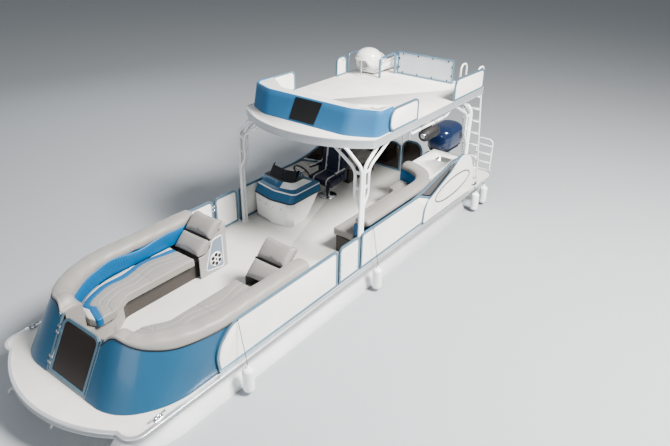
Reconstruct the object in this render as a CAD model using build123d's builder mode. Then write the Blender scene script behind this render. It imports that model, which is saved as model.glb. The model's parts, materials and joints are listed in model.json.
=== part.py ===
from build123d import *
import os
from math import atan2, cos, radians, sin, tan

# Pontoon boat with an upper deck, a water slide and one outboard motor.
# Bow toward -Y, port toward +X, still waterline at Z = 0, millimetres.

os.makedirs("parts", exist_ok=True)

# Driving sizes
DECK_TOP = 460          # main deck above the waterline
DECK_THICK = 25
HALF_BEAM = 1300        # outside of the deck trim
BOW_Y = -4180           # middle of the bow arc
NOTCH_X, NOTCH_Y = 1040, -3850  # where the bow arc meets the corner castings
STERN_Y = 3870          # aft edge of the main deck
TRIM_LOW, TRIM_HIGH = 386, 466

TUBE_R = 330
TUBE_X = 920            # centre of each outer tube
TUBE_AFT_Y = 3850
NOSE_START_Y, NOSE_TIP_Y = -3050, -3960

FENCE_X = 1249          # middle of the side fences
FENCE_LOW, FENCE_TOP = 482, 1082
RAIL = 36               # fence tube seen from the side
RAIL_THICK = 26
SHEET_THICK = 8

UPPER_LOW, UPPER_TOP = 2310, 2424   # upper deck's underside and floor
UPPER_HALF = 1235
UPPER_AFT_Y = 4100
UPPER_FRONT_Y = 80      # middle of the front lip
UPPER_CORNER_Y = 560

SEAT_TOP = 850
BACK_TOP = 1170

BOW_LEAN = 337          # how far the bow fence leans aft over its height
GATE_POST_X = 392
BOW_TURN = 50           # degrees turned by the tight part of each bow corner


def save(part, name):
    part.label = name
    export_step(part, f"parts/{name}.step")


def side_plane(x):
    """Sketch plane whose axes are the boat's Y and Z, at a distance from the centreline."""
    return Plane(origin=(x, 0, 0), x_dir=(0, 1, 0), z_dir=(1, 0, 0))


def cross_plane(y):
    """Sketch plane whose axes are the boat's X and Z, facing the bow."""
    return Plane(origin=(0, y, 0), x_dir=(1, 0, 0), z_dir=(0, -1, 0))


def frame_part(plane, corners, radii, tube=RAIL, thick=RAIL_THICK):
    """Closed rail of square tube that follows a rounded outline."""
    with BuildPart() as frame:
        with BuildSketch(plane):
            with BuildLine():
                FilletPolyline(*corners, radius=radii, close=True)
            make_face()
            offset(amount=-tube, mode=Mode.SUBTRACT)
        extrude(amount=thick / 2, both=True)
    return frame.part


def sheet_part(plane, corners, radii, inset=RAIL, thick=SHEET_THICK):
    """Panel that fills such a rail."""
    with BuildPart() as sheet:
        with BuildSketch(plane):
            with BuildLine():
                FilletPolyline(*corners, radius=radii, close=True)
            make_face()
            offset(amount=-inset, mode=Mode.INTERSECT)
        extrude(amount=thick / 2, both=True)
    return sheet.part


def tube_part(points, radii, radius):
    """Round tube along straight runs and tangent bends."""
    with BuildPart() as tube:
        with BuildLine() as path:
            if radii:
                FilletPolyline(*points, radius=radii)
            else:
                Line(*points)
        with BuildSketch(Plane(origin=path.line @ 0, z_dir=path.line % 0)):
            Circle(radius)
        sweep(path=path.line)
    return tube.part


def both_sides(part):
    """The part and its mirror image about the centreline."""
    return Compound(children=[part, mirror(part, about=Plane.YZ)])


# Tubes: rolled cylinder, ogive nosecone, keel, risers and the eye at the nose
EYE_Y = NOSE_TIP_Y - 35
EYE_HOLE_R = 16
RISER_X = 170
BEAM_LOW = 345

for tube_name, tube_x in (
    ("port_tube", TUBE_X),
    ("center_tube", 0),
    ("starboard_tube", -TUBE_X),
):
    with BuildPart() as log:
        with BuildSketch(Plane(origin=(tube_x, 0, 0), x_dir=(1, 0, 0), z_dir=(0, 0, 1))):
            with BuildLine():
                TangentArc((TUBE_R, NOSE_START_Y), (40, NOSE_TIP_Y), tangent=(0, -1))
                Polyline((40, NOSE_TIP_Y), (0, NOSE_TIP_Y), (0, TUBE_AFT_Y - 18), (TUBE_R - 60, TUBE_AFT_Y - 18),
                         (TUBE_R - 24, TUBE_AFT_Y), (TUBE_R, TUBE_AFT_Y), (TUBE_R, NOSE_START_Y))
            make_face()
        revolve(axis=Axis((tube_x, 0, 0), (0, 1, 0)))
        # Keel strip under the tube
        with Locations((tube_x, 300, -TUBE_R - 8)):
            Box(40, 6700, 44)
        # Extruded risers that the cross members are bolted to
        with Locations((tube_x - RISER_X, 400, 310), (tube_x + RISER_X, 400, 310)):
            Box(10, 6800, 58)
        with Locations((tube_x - RISER_X, 400, 342), (tube_x + RISER_X, 400, 342)):
            Box(60, 6800, 6)
        # Eye at the nose
        with BuildSketch(side_plane(tube_x)):
            with Locations((EYE_Y, 0)):
                Circle(42)
            with Locations((EYE_Y + 60, 0)):
                Rectangle(120, 84)
            with Locations((EYE_Y, 0)):
                Circle(EYE_HOLE_R, mode=Mode.SUBTRACT)
        extrude(amount=7, both=True)
    save(log.part, tube_name)


# Cross members: C sections across the tubes, closer than an arm apart
BEAM_HIGH = DECK_TOP - DECK_THICK
with BuildPart() as cross_members:
    with BuildSketch(side_plane(0)):
        with GridLocations(410, 1, 19, 1):
            with Locations((0, (BEAM_LOW + BEAM_HIGH) / 2)):
                Rectangle(50, BEAM_HIGH - BEAM_LOW)
            with Locations((5, (BEAM_LOW + BEAM_HIGH) / 2)):
                Rectangle(40, BEAM_HIGH - BEAM_LOW - 10, mode=Mode.SUBTRACT)
    extrude(amount=1235, both=True)
save(cross_members.part, "cross_members")


# Main deck: board with a round bow, under one piece of flooring
def deck_outline(inset=0):
    """Plan of the deck inside the trim, with the bow arc and the two corner castings."""
    x = HALF_BEAM - inset
    with BuildSketch() as plan:
        with BuildLine():
            arc = ThreePointArc((-NOTCH_X, NOTCH_Y + inset), (0, BOW_Y + inset), (NOTCH_X, NOTCH_Y + inset))
            Line(arc @ 1, (NOTCH_X, STERN_Y - inset))
            Line((NOTCH_X, STERN_Y - inset), (-NOTCH_X, STERN_Y - inset))
            Line((-NOTCH_X, STERN_Y - inset), arc @ 0)
        make_face()
        with BuildLine():
            FilletPolyline(
                (NOTCH_X - 20, NOTCH_Y + 10 + inset), (x, NOTCH_Y - 20 + inset), (x, STERN_Y - inset),
                (NOTCH_X - 20, STERN_Y - inset),
                radius=[190 - inset, 1], close=False)
            Line((NOTCH_X - 20, STERN_Y - inset), (NOTCH_X - 20, NOTCH_Y + 10 + inset))
        make_face()
        mirror(about=Plane.YZ)
    return plan.sketch


TRIM = 10
with BuildPart() as deck:
    with BuildSketch(Plane.XY.offset(DECK_TOP - DECK_THICK)):
        add(deck_outline(TRIM))
    extrude(amount=DECK_THICK)
save(deck.part, "deck")

with BuildPart() as deck_trim:
    with BuildSketch(Plane.XY.offset(TRIM_LOW)):
        add(deck_outline())
        add(deck_outline(TRIM), mode=Mode.SUBTRACT)
    extrude(amount=TRIM_HIGH - TRIM_LOW)
    # Lip over the edge of the flooring
    with BuildSketch(Plane.XY.offset(DECK_TOP)):
        add(deck_outline())
        add(deck_outline(38), mode=Mode.SUBTRACT)
    extrude(amount=TRIM_HIGH - DECK_TOP)
save(deck_trim.part, "deck_trim")


# Bow walls: sheet rolled round each bow corner, leaning aft, its top edge humped beside the gate
def bow_curve(front_y, start_x, tight_r, easy_r, end_y, inset):
    """Plan curve from the gate post round one bow corner, a distance inside the wall."""
    front = Line((GATE_POST_X, front_y + inset), (start_x, front_y + inset))
    tight = JernArc(front @ 1, (1, 0), tight_r - inset, BOW_TURN)
    easy = JernArc(tight @ 1, tight % 1, easy_r - inset, 90 - BOW_TURN)
    return Line(easy @ 1, ((easy @ 1).X, end_y))


def bow_sizes(z):
    """Front y, start of the corner, tight radius and easy radius of the leaning wall at a height."""
    share = (z - WALL_LOW) / (FENCE_TOP - WALL_LOW)
    return [foot + (head - foot) * share for foot, head in zip(BOW_FOOT, BOW_HEAD)]


def bow_band(z, outer, inner, end_y):
    """Plan of a wall or a seat back that follows the bow corner as it is at a height."""
    sizes = bow_sizes(z)
    with BuildSketch() as band:
        with BuildLine():
            outside = bow_curve(*sizes, end_y, outer)
            inside = bow_curve(*sizes, end_y, inner)
            Line(outside @ 1, inside @ 1)
            Line((GATE_POST_X, sizes[0] + outer), (GATE_POST_X, sizes[0] + inner))
        make_face()
    return band.sketch


# front y, start of the corner, tight radius, easy radius
BOW_FOOT = (-3765, 545, 600, 980)
BOW_HEAD = (-3765 + BOW_LEAN, 470, 560, 1425)
WALL = 28
WALL_LOW = FENCE_LOW - 14
WALL_END_Y = -2240
WALL_PEAK = 1190        # above the highest point of the hump
WALL_TOP = (
    # x, z of the top edge's corners seen from the bow, then the radius there
    ((372, 1030), 0),
    ((500, 1172), 90),
    ((590, 1182), 300),
    ((1075, 1048), 400),
    ((1300, 1092), 0),
)


def wall_part(outer, inner, raised=0):
    """Leaning wall between two distances inside its outer face, under the humped top edge."""
    with BuildPart() as wall:
        with BuildSketch(Plane.XY.offset(WALL_LOW)):
            add(bow_band(WALL_LOW, outer, inner, WALL_END_Y + 100))
        with BuildSketch(Plane.XY.offset(WALL_PEAK)):
            add(bow_band(WALL_PEAK, outer, inner, WALL_END_Y + 100))
        loft()
        with Locations((800, WALL_END_Y + 100, 900)):
            Box(1200, 200, 1200, mode=Mode.SUBTRACT)
        with BuildSketch(cross_plane(-4000)):
            with BuildLine():
                top = FilletPolyline(*[(x, z + raised) for (x, z), radius in WALL_TOP],
                                     radius=[radius for corner, radius in WALL_TOP[1:-1]])
                Polyline(top @ 0, (372, 1300), (1300, 1300), top @ 1)
            make_face()
        extrude(amount=-3400, mode=Mode.SUBTRACT)
    return wall.part


save(both_sides(wall_part(0, WALL)), "bow_walls")


# Side fences: anodised rails with white sheets
FRONT_FENCE = (
    # y, z of each corner of the rail's outside, then its radius
    ((-2570, FENCE_LOW), 30),
    ((-285, FENCE_LOW), 15),
    ((-285, FENCE_TOP), 90),
    ((-2330, FENCE_TOP), 350),
    ((-2610, 800), 350),
)
SWEEP_START_Y = 1700
AFT_FENCE = (
    ((285, FENCE_LOW), 15),
    ((2480, FENCE_LOW), 15),
    ((2480, 860), 150),
    ((1960, FENCE_TOP), 300),
    ((285, FENCE_TOP), 90),
)
SWEEP_PATH = ((SWEEP_START_Y, FENCE_TOP - 16), (2080, FENCE_TOP + 20), (3050, 1310), (3480, 1310))

side_rails = []
side_sheets = []
for fence in (FRONT_FENCE, AFT_FENCE):
    corners = [corner for corner, radius in fence]
    radii = [radius for corner, radius in fence]
    side_rails.append(frame_part(side_plane(FENCE_X), corners, radii))
    side_sheets.append(sheet_part(side_plane(FENCE_X), corners, radii))

with BuildPart() as sweep_rail:
    with BuildSketch(side_plane(FENCE_X)):
        with BuildLine() as sweep_line:
            FilletPolyline(*SWEEP_PATH, radius=[900, 900])
        trace(line_width=RAIL)
    extrude(amount=RAIL_THICK / 2, both=True)

with BuildPart() as port_rails:
    add(side_rails[0])
    add(side_rails[1])
    add(sweep_rail.part)
save(both_sides(port_rails.part), "side_rails")
save(both_sides(Compound(children=side_sheets)), "side_panels")


# Quarter panels: moulded teardrops outside the aft fences, each with a bare oval rim
QUARTER_X = FENCE_X + RAIL_THICK / 2
QUARTER_THICK = 26
QUARTER = (
    ((2110, 486), 40),
    ((3930, 486), 40),
    ((3990, 830), 300),
    ((3760, 1240), 260),
    ((3400, 1370), 260),
    ((3050, 1170), 600),
    ((2150, 850), 250),
)
with BuildPart() as quarter:
    with BuildSketch(side_plane(QUARTER_X)):
        with BuildLine():
            FilletPolyline(*[corner for corner, radius in QUARTER],
                           radius=[radius for corner, radius in QUARTER], close=True)
        make_face()
    extrude(amount=QUARTER_THICK)
    fillet(quarter.faces().sort_by(Axis.X)[-1].edges(), radius=10)
    with BuildSketch(side_plane(QUARTER_X + QUARTER_THICK)):
        with Locations(Location((3130, 850), 3)):
            Ellipse(655, 185)
            Ellipse(630, 161, mode=Mode.SUBTRACT)
    extrude(amount=5)
save(both_sides(quarter.part), "quarter_panels")


# Stern fence: two short rails with sheets, either side of the stern gate
STERN_FENCE_Y = 3835
STERN_GATE_X = (-218, 262)
stern_rails = []
stern_sheets = []
for low_x, high_x in ((STERN_GATE_X[1] + 17.5, 1150), (-1150, STERN_GATE_X[0] - 17.5)):
    corners = ((low_x, FENCE_LOW), (high_x, FENCE_LOW), (high_x, FENCE_TOP), (low_x, FENCE_TOP))
    radii = [15, 15, 160, 160]
    stern_rails.append(frame_part(cross_plane(STERN_FENCE_Y), corners, radii))
    stern_sheets.append(sheet_part(cross_plane(STERN_FENCE_Y), corners, radii))
save(Compound(children=stern_rails), "stern_rails")

# The same smoked sheet fills the gap under each sweep rail
with BuildPart() as sweep_sheet:
    with BuildSketch(side_plane(FENCE_X)):
        Polygon((2050, 1060), (2110, 1084), (3030, 1274), (3030, 1060), (2500, 874), align=None)
    extrude(amount=SHEET_THICK / 2, both=True)
save(Compound(children=[*stern_sheets, sweep_sheet.part, mirror(sweep_sheet.part, about=Plane.YZ)]), "stern_panels")


# Gates: the same rail and sheet in a swinging leaf, on knuckle hinges at one face
HINGE_GAP = 17.5        # from the hinge axis to the leaf's edge, and to the post
KNUCKLE_R, PIN_R = 8, 4


def knuckles(plane, places, toward, pinned):
    """Hinge knuckles round a plane's own y axis, each with a strap that reaches one way."""
    with BuildPart() as hinge:
        for low, length in places:
            with BuildSketch(Plane(origin=plane.from_local_coords((0, low, 0)), x_dir=plane.x_dir, z_dir=plane.y_dir)):
                Circle(KNUCKLE_R)
                with Locations((toward * 25, -3)):
                    Rectangle(50, 6)
                if not pinned:
                    Circle(PIN_R + 0.3, mode=Mode.SUBTRACT)
            extrude(amount=length)
        if pinned:
            low, high = places[0][0], places[-1][0] + places[-1][1]
            with BuildSketch(Plane(origin=plane.from_local_coords((0, low, 0)), x_dir=plane.x_dir, z_dir=plane.y_dir)):
                Circle(PIN_R)
            extrude(amount=high - low)
    return hinge.part


def gate_part(plane, width, height, top_radius):
    """Leaf beside a hinge axis, which is the plane's y axis, on the plane's back."""
    corners = ((HINGE_GAP, 0), (HINGE_GAP + width, 0), (HINGE_GAP + width, height), (HINGE_GAP, height))
    radii = [15, 15, top_radius, top_radius]
    middle = plane.offset(-RAIL_THICK / 2)
    with BuildPart() as leaf:
        add(frame_part(middle, corners, radii))
        add(sheet_part(middle, corners, radii, inset=RAIL - 2))
        for low in (80, height - top_radius - 120):
            add(knuckles(plane, ((low + 31, 38),), 1, False))
    return leaf.part


def gate_hinges(plane, height, top_radius):
    """The fixed halves of the same hinges, whose straps lie on the post."""
    with BuildPart() as fixed:
        for low in (80, height - top_radius - 120):
            add(knuckles(plane, ((low, 30), (low + 70, 30)), -1, True))
    return fixed.part


lean = atan2(BOW_LEAN, FENCE_TOP - WALL_LOW)
GATE_FOOT = FENCE_LOW + 6
BOW_HINGE_X = 348.5
BOW_GATE = Plane(
    origin=(-BOW_HINGE_X, BOW_FOOT[0] + (GATE_FOOT - WALL_LOW) * tan(lean), GATE_FOOT),
    x_dir=(1, 0, 0),
    z_dir=(0, -cos(lean), sin(lean)),
)
SIDE_HINGE_Y = -267.5
SIDE_GATE = Plane(origin=(-FENCE_X + RAIL_THICK / 2, SIDE_HINGE_Y, GATE_FOOT), x_dir=(0, 1, 0), z_dir=(1, 0, 0))
STERN_HINGE_X = 262
STERN_GATE = Plane(origin=(-STERN_HINGE_X, STERN_FENCE_Y - RAIL_THICK / 2, GATE_FOOT), x_dir=(1, 0, 0),
                   z_dir=(0, -1, 0))

save(gate_part(BOW_GATE, 2 * BOW_HINGE_X - 10, 680, 110), "bow_gate")
save(gate_part(SIDE_GATE, 500, 594, 90), "starboard_gate")
save(mirror(gate_part(SIDE_GATE, 500, 594, 90), about=Plane.YZ), "port_gate")
save(mirror(gate_part(STERN_GATE, 460, 700, 190), about=Plane.YZ), "stern_gate")

with BuildPart() as gate_hinge_set:
    add(gate_hinges(BOW_GATE, 680, 110))
    add(gate_hinges(SIDE_GATE, 594, 90))
    add(mirror(gate_hinges(SIDE_GATE, 594, 90), about=Plane.YZ))
    add(mirror(gate_hinges(STERN_GATE, 700, 190), about=Plane.YZ))
save(gate_hinge_set.part, "gate_hinges")

# Leaning posts at the ends of the bow walls
with BuildPart() as bow_gate_post:
    with BuildSketch(BOW_GATE.offset(-RAIL_THICK / 2)):
        with Locations((BOW_HINGE_X - 378, 338)):
            Rectangle(24, 700)
    extrude(amount=RAIL_THICK / 2, both=True)
save(both_sides(bow_gate_post.part), "bow_gate_posts")


# Corner posts: two tubes side by side, one bending inboard and one along the side,
# each with a second tube beside it that leaves it at half height and is tied by rungs
POST_R = 26
POST_X = 1190
BEND_Z = 2080


def post_part(y, along):
    """Port corner post at a place along the side; along is +1 or -1 for the bend's way."""
    inner_y = y
    outer_y = y + along * 62
    with BuildPart() as post:
        # Tube that bends inboard and the one beside it
        add(tube_part(((POST_X, inner_y, DECK_TOP), (POST_X, inner_y, BEND_Z), (850, inner_y, 2360)), [190], POST_R))
        add(tube_part(((POST_X, inner_y, 1450), (POST_X - 112, inner_y, 1640), (POST_X - 112, inner_y, BEND_Z - 40),
                       (600, inner_y, 2370)), [150, 190], POST_R - 4))
        # Tube that bends along the side and the one beside it
        add(tube_part(((POST_X, outer_y, DECK_TOP), (POST_X, outer_y, BEND_Z), (POST_X, outer_y + along * 400, 2360)),
                      [190], POST_R))
        add(tube_part(((POST_X, outer_y, 1450), (POST_X, outer_y + along * 112, 1640),
                       (POST_X, outer_y + along * 112, BEND_Z - 40), (POST_X, outer_y + along * 740, 2370)),
                      [150, 190], POST_R - 4))
        # Rungs between each pair, and the web that joins the two main tubes
        for z in (1760, 2000):
            with Locations((POST_X - 56, inner_y, z)):
                Box(112, 16, 44)
            with Locations((POST_X, outer_y + along * 56, z)):
                Box(16, 112, 44)
        for z in (620, 1040, 1460):
            with Locations((POST_X, (inner_y + outer_y) / 2, z)):
                Box(20, 62, 60)
        with Locations((POST_X - 4, (inner_y + outer_y) / 2, DECK_TOP + 5)):
            Box(72, 140, 10)
        split(bisect_by=Plane.XY.offset(UPPER_LOW), keep=Keep.BOTTOM)
        split(bisect_by=Plane.XY.offset(DECK_TOP), keep=Keep.TOP)
    return post.part


save(both_sides(post_part(322, 1)), "front_posts")
save(both_sides(post_part(3755, -1)), "rear_posts")


# Upper deck: rim and beams of aluminium under a flat floor with a round front lip
def upper_outline(inset=0):
    x = UPPER_HALF - inset
    with BuildSketch() as plan:
        with BuildLine():
            front = ThreePointArc((-x, UPPER_CORNER_Y + inset), (0, UPPER_FRONT_Y + inset), (x, UPPER_CORNER_Y + inset))
            Polyline(front @ 1, (x, UPPER_AFT_Y - inset), (-x, UPPER_AFT_Y - inset), front @ 0)
        make_face()
        fillet(plan.vertices().group_by(Axis.Y)[0], radius=90)
        fillet(plan.vertices().group_by(Axis.Y)[-1], radius=60)
    return plan.sketch


FLOOR_THICK = 40
UPPER_RIM = 12
with BuildPart() as upper_floor:
    with BuildSketch(Plane.XY.offset(UPPER_TOP - FLOOR_THICK)):
        add(upper_outline(UPPER_RIM))
    extrude(amount=FLOOR_THICK)
save(upper_floor.part, "upper_floor")

with BuildPart() as upper_frame:
    with BuildSketch(Plane.XY.offset(UPPER_LOW)):
        add(upper_outline())
        add(upper_outline(UPPER_RIM), mode=Mode.SUBTRACT)
    extrude(amount=UPPER_TOP + 5 - UPPER_LOW)
    for beam_y in range(840, 4000, 520):
        with Locations((0, beam_y, (UPPER_LOW + UPPER_TOP - FLOOR_THICK) / 2)):
            Box(2 * UPPER_HALF - UPPER_RIM, 46, UPPER_TOP - FLOOR_THICK - UPPER_LOW)
save(upper_frame.part, "upper_frame")


# Upper front wall: one rolled sheet round the front of the upper deck, leaning aft at the front
UPPER_WALL_X = 1184
UPPER_WALL_HIGH = 360
with BuildPart() as upper_wall:
    for level, corner_y, front_y in ((0, 680, 468), (UPPER_WALL_HIGH, 757, 588)):
        with BuildSketch(Plane.XY.offset(UPPER_TOP + 5 + level)):
            with BuildLine():
                FilletPolyline((-UPPER_WALL_X, 1060), (-UPPER_WALL_X, corner_y), (-780, front_y), (780, front_y),
                               (UPPER_WALL_X, corner_y), (UPPER_WALL_X, 1060), radius=[150, 500, 500, 150])
            trace(line_width=24)
    loft()
save(upper_wall.part, "upper_wall")


# Upper rails: low panels along the sides, one across the stern, and the slide's own rails
UPPER_RAIL_X = 1212
UPPER_RAIL_LOW = UPPER_TOP + 5
upper_rails = []
upper_sheets = []
UPPER_SIDES = (
    # start y, end y, height at each end, radius at the foot and the head of the start, head of the end, sides
    (945, 1735, 350, 345, 120, 180, 100, (1, -1)),
    (2922, 4030, 372, 350, 15, 140, 100, (1,)),
    (2922, 3230, 350, 350, 15, 110, 110, (-1,)),
)
for start_y, end_y, start_h, end_h, foot_r, head_r, end_r, sides in UPPER_SIDES:
    corners = ((start_y, UPPER_RAIL_LOW), (end_y, UPPER_RAIL_LOW),
               (end_y, UPPER_RAIL_LOW + end_h), (start_y, UPPER_RAIL_LOW + start_h))
    radii = [foot_r, 15, end_r, head_r]
    for side in sides:
        plane = side_plane(side * UPPER_RAIL_X)
        upper_rails.append(frame_part(plane, corners, radii, tube=28, thick=24))
        upper_sheets.append(sheet_part(plane, corners, radii, inset=28))

rear_corners = ((-476, UPPER_RAIL_LOW), (700, UPPER_RAIL_LOW),
                (700, UPPER_RAIL_LOW + 425), (-476, UPPER_RAIL_LOW + 425))
upper_rails.append(frame_part(cross_plane(3880), rear_corners, [8, 8, 8, 8], tube=28, thick=24))
upper_sheets.append(sheet_part(cross_plane(3880), rear_corners, [8, 8, 8, 8], inset=28, thick=5))
# Outboard and inboard rails of the slide's entry
upper_rails.append(tube_part(((-1206, 3300, UPPER_TOP), (-1206, 3300, 2785), (-1206, 4040, 2785),
                              (-1206, 4040, UPPER_TOP)), [60, 60], 14))
upper_rails.append(tube_part(((-556, 3390, UPPER_TOP), (-556, 3390, 2770), (-506, 3838, 2830),
                              (-506, 3838, UPPER_TOP)), [90, 90], 24))
save(Compound(children=upper_rails), "upper_rails")
save(Compound(children=upper_sheets), "upper_panels")


# Bench moulding inside the upper front wall, flush with its top, with two oval cup wells
BENCH_TOP = UPPER_TOP + UPPER_WALL_HIGH
with BuildPart() as upper_bench:
    with BuildSketch(Plane.XY.offset(UPPER_TOP)):
        with BuildLine():
            FilletPolyline((-1160, 1120), (-1160, 773), (-775, 612), (775, 612), (1160, 773), (1160, 1120),
                           radius=[126, 476, 476, 126])
            Line((1160, 1120), (1110, 1120))
            Line((-1160, 1120), (-1110, 1120))
            FilletPolyline((-1110, 1120), (-660, 790), (660, 790), (1110, 1120), radius=[200, 200])
        make_face()
    extrude(amount=BENCH_TOP - UPPER_TOP)
    fillet(upper_bench.edges().filter_by(Plane.XY).group_by(Axis.Z)[-1], radius=12)
    with BuildSketch(Plane.XY.offset(BENCH_TOP)):
        with Locations(Location((925, 812), 25), Location((1048, 882), 25)):
            Ellipse(52, 30)
    extrude(amount=-60, mode=Mode.SUBTRACT)
save(upper_bench.part, "upper_bench")


# Slide: U section swept from the upper deck down past the stern, ending over the water
SLIDE_X = -885
SLIDE_PATH = ((3480, 2464), (4260, 2462), (5440, 900), (5980, 640))
SLIDE_WALL = 16
with BuildPart() as slide:
    with BuildLine(side_plane(SLIDE_X)) as slide_line:
        FilletPolyline(*SLIDE_PATH, radius=[420, 620])
    start = slide_line.line @ 0
    with BuildSketch(Plane(origin=start, x_dir=(-1, 0, 0), z_dir=slide_line.line % 0)):
        with BuildLine():
            FilletPolyline((-270, 230), (-250, 0), (250, 0), (270, 230), radius=[150, 150])
        trace(line_width=SLIDE_WALL)
        with Locations((-278, 231), (278, 231)):
            Rectangle(40, 20)
    sweep(path=slide_line.line)
    # Struts down to the starboard swim platform
    for strut_y, strut_top in ((4700, 1900), (4960, 1556)):
        for side in (-180, 180):
            with Locations((SLIDE_X + side, strut_y, (450 + strut_top) / 2)):
                Cylinder(19, strut_top - 450)
save(slide.part, "slide")

# Hood over the slide's entry: a thin oval dome on a front post and the slide's own walls
HOOD_Y, HOOD_Z = 3500, 2737
HOOD_R, HOOD_RISE, HOOD_WALL = 240, 176, 12
HOOD_LIP = 14
with BuildPart() as slide_hood:
    with BuildSketch(cross_plane(HOOD_Y)):
        with BuildLine():
            outer = EllipticalCenterArc((SLIDE_X, HOOD_Z), HOOD_R, HOOD_RISE, start_angle=0, arc_size=84)
            inner = EllipticalCenterArc((SLIDE_X, HOOD_Z), HOOD_R - HOOD_WALL, HOOD_RISE - HOOD_WALL,
                                        start_angle=0, arc_size=84)
            Polyline(outer @ 1, (SLIDE_X, (outer @ 1).Y), (SLIDE_X, (inner @ 1).Y), inner @ 1)
            Polyline(outer @ 0, outer @ 0 + (8, 0), outer @ 0 + (8, -HOOD_LIP), inner @ 0 + (-4, -HOOD_LIP),
                     inner @ 0 + (-4, 0), inner @ 0)
        make_face()
    revolve(axis=Axis((SLIDE_X, HOOD_Y, 0), (0, 0, 1)))
    with Locations((SLIDE_X, HOOD_Y - HOOD_R + 4, (UPPER_TOP + HOOD_Z - 10) / 2)):
        Cylinder(9, HOOD_Z - 10 - UPPER_TOP)
    for side in (-1, 1):
        with Locations((SLIDE_X + side * 262, HOOD_Y, HOOD_Z - HOOD_LIP - 8)):
            Box(64, 60, 17.8)
save(slide_hood.part, "slide_hood")


# Ladder to the upper deck: two rails that end as hand hoops, and flat treads
LADDER_X = (800, 1130)
LADDER_FOOT_Y, LADDER_HEAD_Y = 4520, 4180
PLATFORM_TOP = 450
with BuildPart() as stern_ladder:
    for x in LADDER_X:
        add(tube_part(((x, LADDER_FOOT_Y, PLATFORM_TOP), (x, LADDER_FOOT_Y, 600), (x, LADDER_HEAD_Y + 20, 2300),
                       (x, LADDER_HEAD_Y, 2770), (x, 3960, 2770), (x, 3960, UPPER_TOP + 5)), [200, 300, 90, 90], 17))
    tread_count = 7
    for n in range(tread_count):
        z = PLATFORM_TOP + 250 * (n + 1)
        y = LADDER_FOOT_Y - (LADDER_FOOT_Y - LADDER_HEAD_Y - 20) * (z - 600) / (2300 - 600)
        with Locations(((LADDER_X[0] + LADDER_X[1]) / 2, y, z)):
            Box(LADDER_X[1] - LADDER_X[0], 96, 24)
save(stern_ladder.part, "stern_ladder")


# Swim platforms each side of the motor, level with the deck trim
PLATFORM_IN, PLATFORM_OUT, PLATFORM_AFT = 422, 1282, 5000
with BuildPart() as platform:
    with BuildSketch(Plane.XY.offset(PLATFORM_TOP - 62)) as platform_plan:
        with Locations(((PLATFORM_IN + PLATFORM_OUT) / 2, (STERN_Y + PLATFORM_AFT) / 2)):
            Rectangle(PLATFORM_OUT - PLATFORM_IN, PLATFORM_AFT - STERN_Y)
        fillet(platform_plan.vertices().group_by(Axis.Y)[-1].sort_by(Axis.X)[-1], radius=220)
        fillet(platform_plan.vertices().group_by(Axis.Y)[-1].sort_by(Axis.X)[0], radius=80)
    extrude(amount=62)
    with Locations((600, 4400, 360), (1120, 4400, 360)):
        Box(50, 1040, 56)

SWIM_X, SWIM_Y, SWIM_Z = 1010, 5030, 472
SWIM_PIN_R = 14
with BuildPart() as platforms:
    add(both_sides(platform.part))
    # Blocks that hold the swim ladder's axle
    for side in (-1, 1):
        with BuildSketch(side_plane(SWIM_X + side * 196)):
            with Locations((4985, SWIM_Z - 16)):
                Rectangle(70, 60)
            with Locations((SWIM_Y - 5, SWIM_Z)):
                Rectangle(54, 44)
            with Locations((SWIM_Y, SWIM_Z)):
                Circle(SWIM_PIN_R + 0.3, mode=Mode.SUBTRACT)
        extrude(amount=8, both=True)
save(platforms.part, "swim_platforms")


# Swim ladder: hoop with three treads, folded up at the port platform's aft edge
with BuildPart() as swim_ladder:
    add(tube_part(((SWIM_X - 165, SWIM_Y, SWIM_Z), (SWIM_X - 165, SWIM_Y, 1130), (SWIM_X + 165, SWIM_Y, 1130),
                   (SWIM_X + 165, SWIM_Y, SWIM_Z)), [90, 90], 15))
    with Locations((SWIM_X, SWIM_Y, SWIM_Z)):
        Cylinder(SWIM_PIN_R, 412, rotation=(0, 90, 0))
    for z in (640, 820, 1000):
        with Locations((SWIM_X, SWIM_Y, z)):
            Box(330, 40, 24)
save(swim_ladder.part, "swim_ladder")


# Bow lounges: a riser, one seat cushion, a rolled back and a chaise back on each side
LOUNGE_END_Y = -830
AISLE_X = 405
SEAT_END_Y = -1420        # where the cushion stops in front of the chaise


def lounge_plan(front_x, outer, inset_riser=0):
    """Plan of one bow lounge's seat, from the bow corner to the aft end."""
    head = BOW_HEAD
    with BuildSketch() as plan:
        with BuildLine():
            outside = bow_curve(*head, LOUNGE_END_Y, outer)
            FilletPolyline((GATE_POST_X, head[0] + outer), (250 + inset_riser, head[0] + outer + 50),
                           (250 + inset_riser, -2840), (front_x, -2560), (front_x, LOUNGE_END_Y),
                           radius=[40, 120, 160])
            Line((front_x, LOUNGE_END_Y), outside @ 1)
        make_face()
    return plan.sketch


BACK_IN = 262           # seat back's face inside the wall's head
CUSHION = 120
with BuildPart() as lounge_base:
    with BuildSketch(Plane.XY.offset(DECK_TOP)):
        add(lounge_plan(AISLE_X + 95, WALL + 12, inset_riser=60))
    extrude(amount=SEAT_TOP - CUSHION - DECK_TOP)
save(both_sides(lounge_base.part), "bow_lounge_bases")

with BuildPart() as lounge_seat:
    with BuildSketch(Plane.XY.offset(SEAT_TOP - CUSHION)):
        add(lounge_plan(AISLE_X, BACK_IN + 4))
    extrude(amount=CUSHION)
    with Locations((800, SEAT_END_Y + 490, SEAT_TOP)):
        Box(1200, 980, 2 * CUSHION + 20, mode=Mode.SUBTRACT)
save(both_sides(lounge_seat.part), "bow_seat_cushions")

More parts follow.
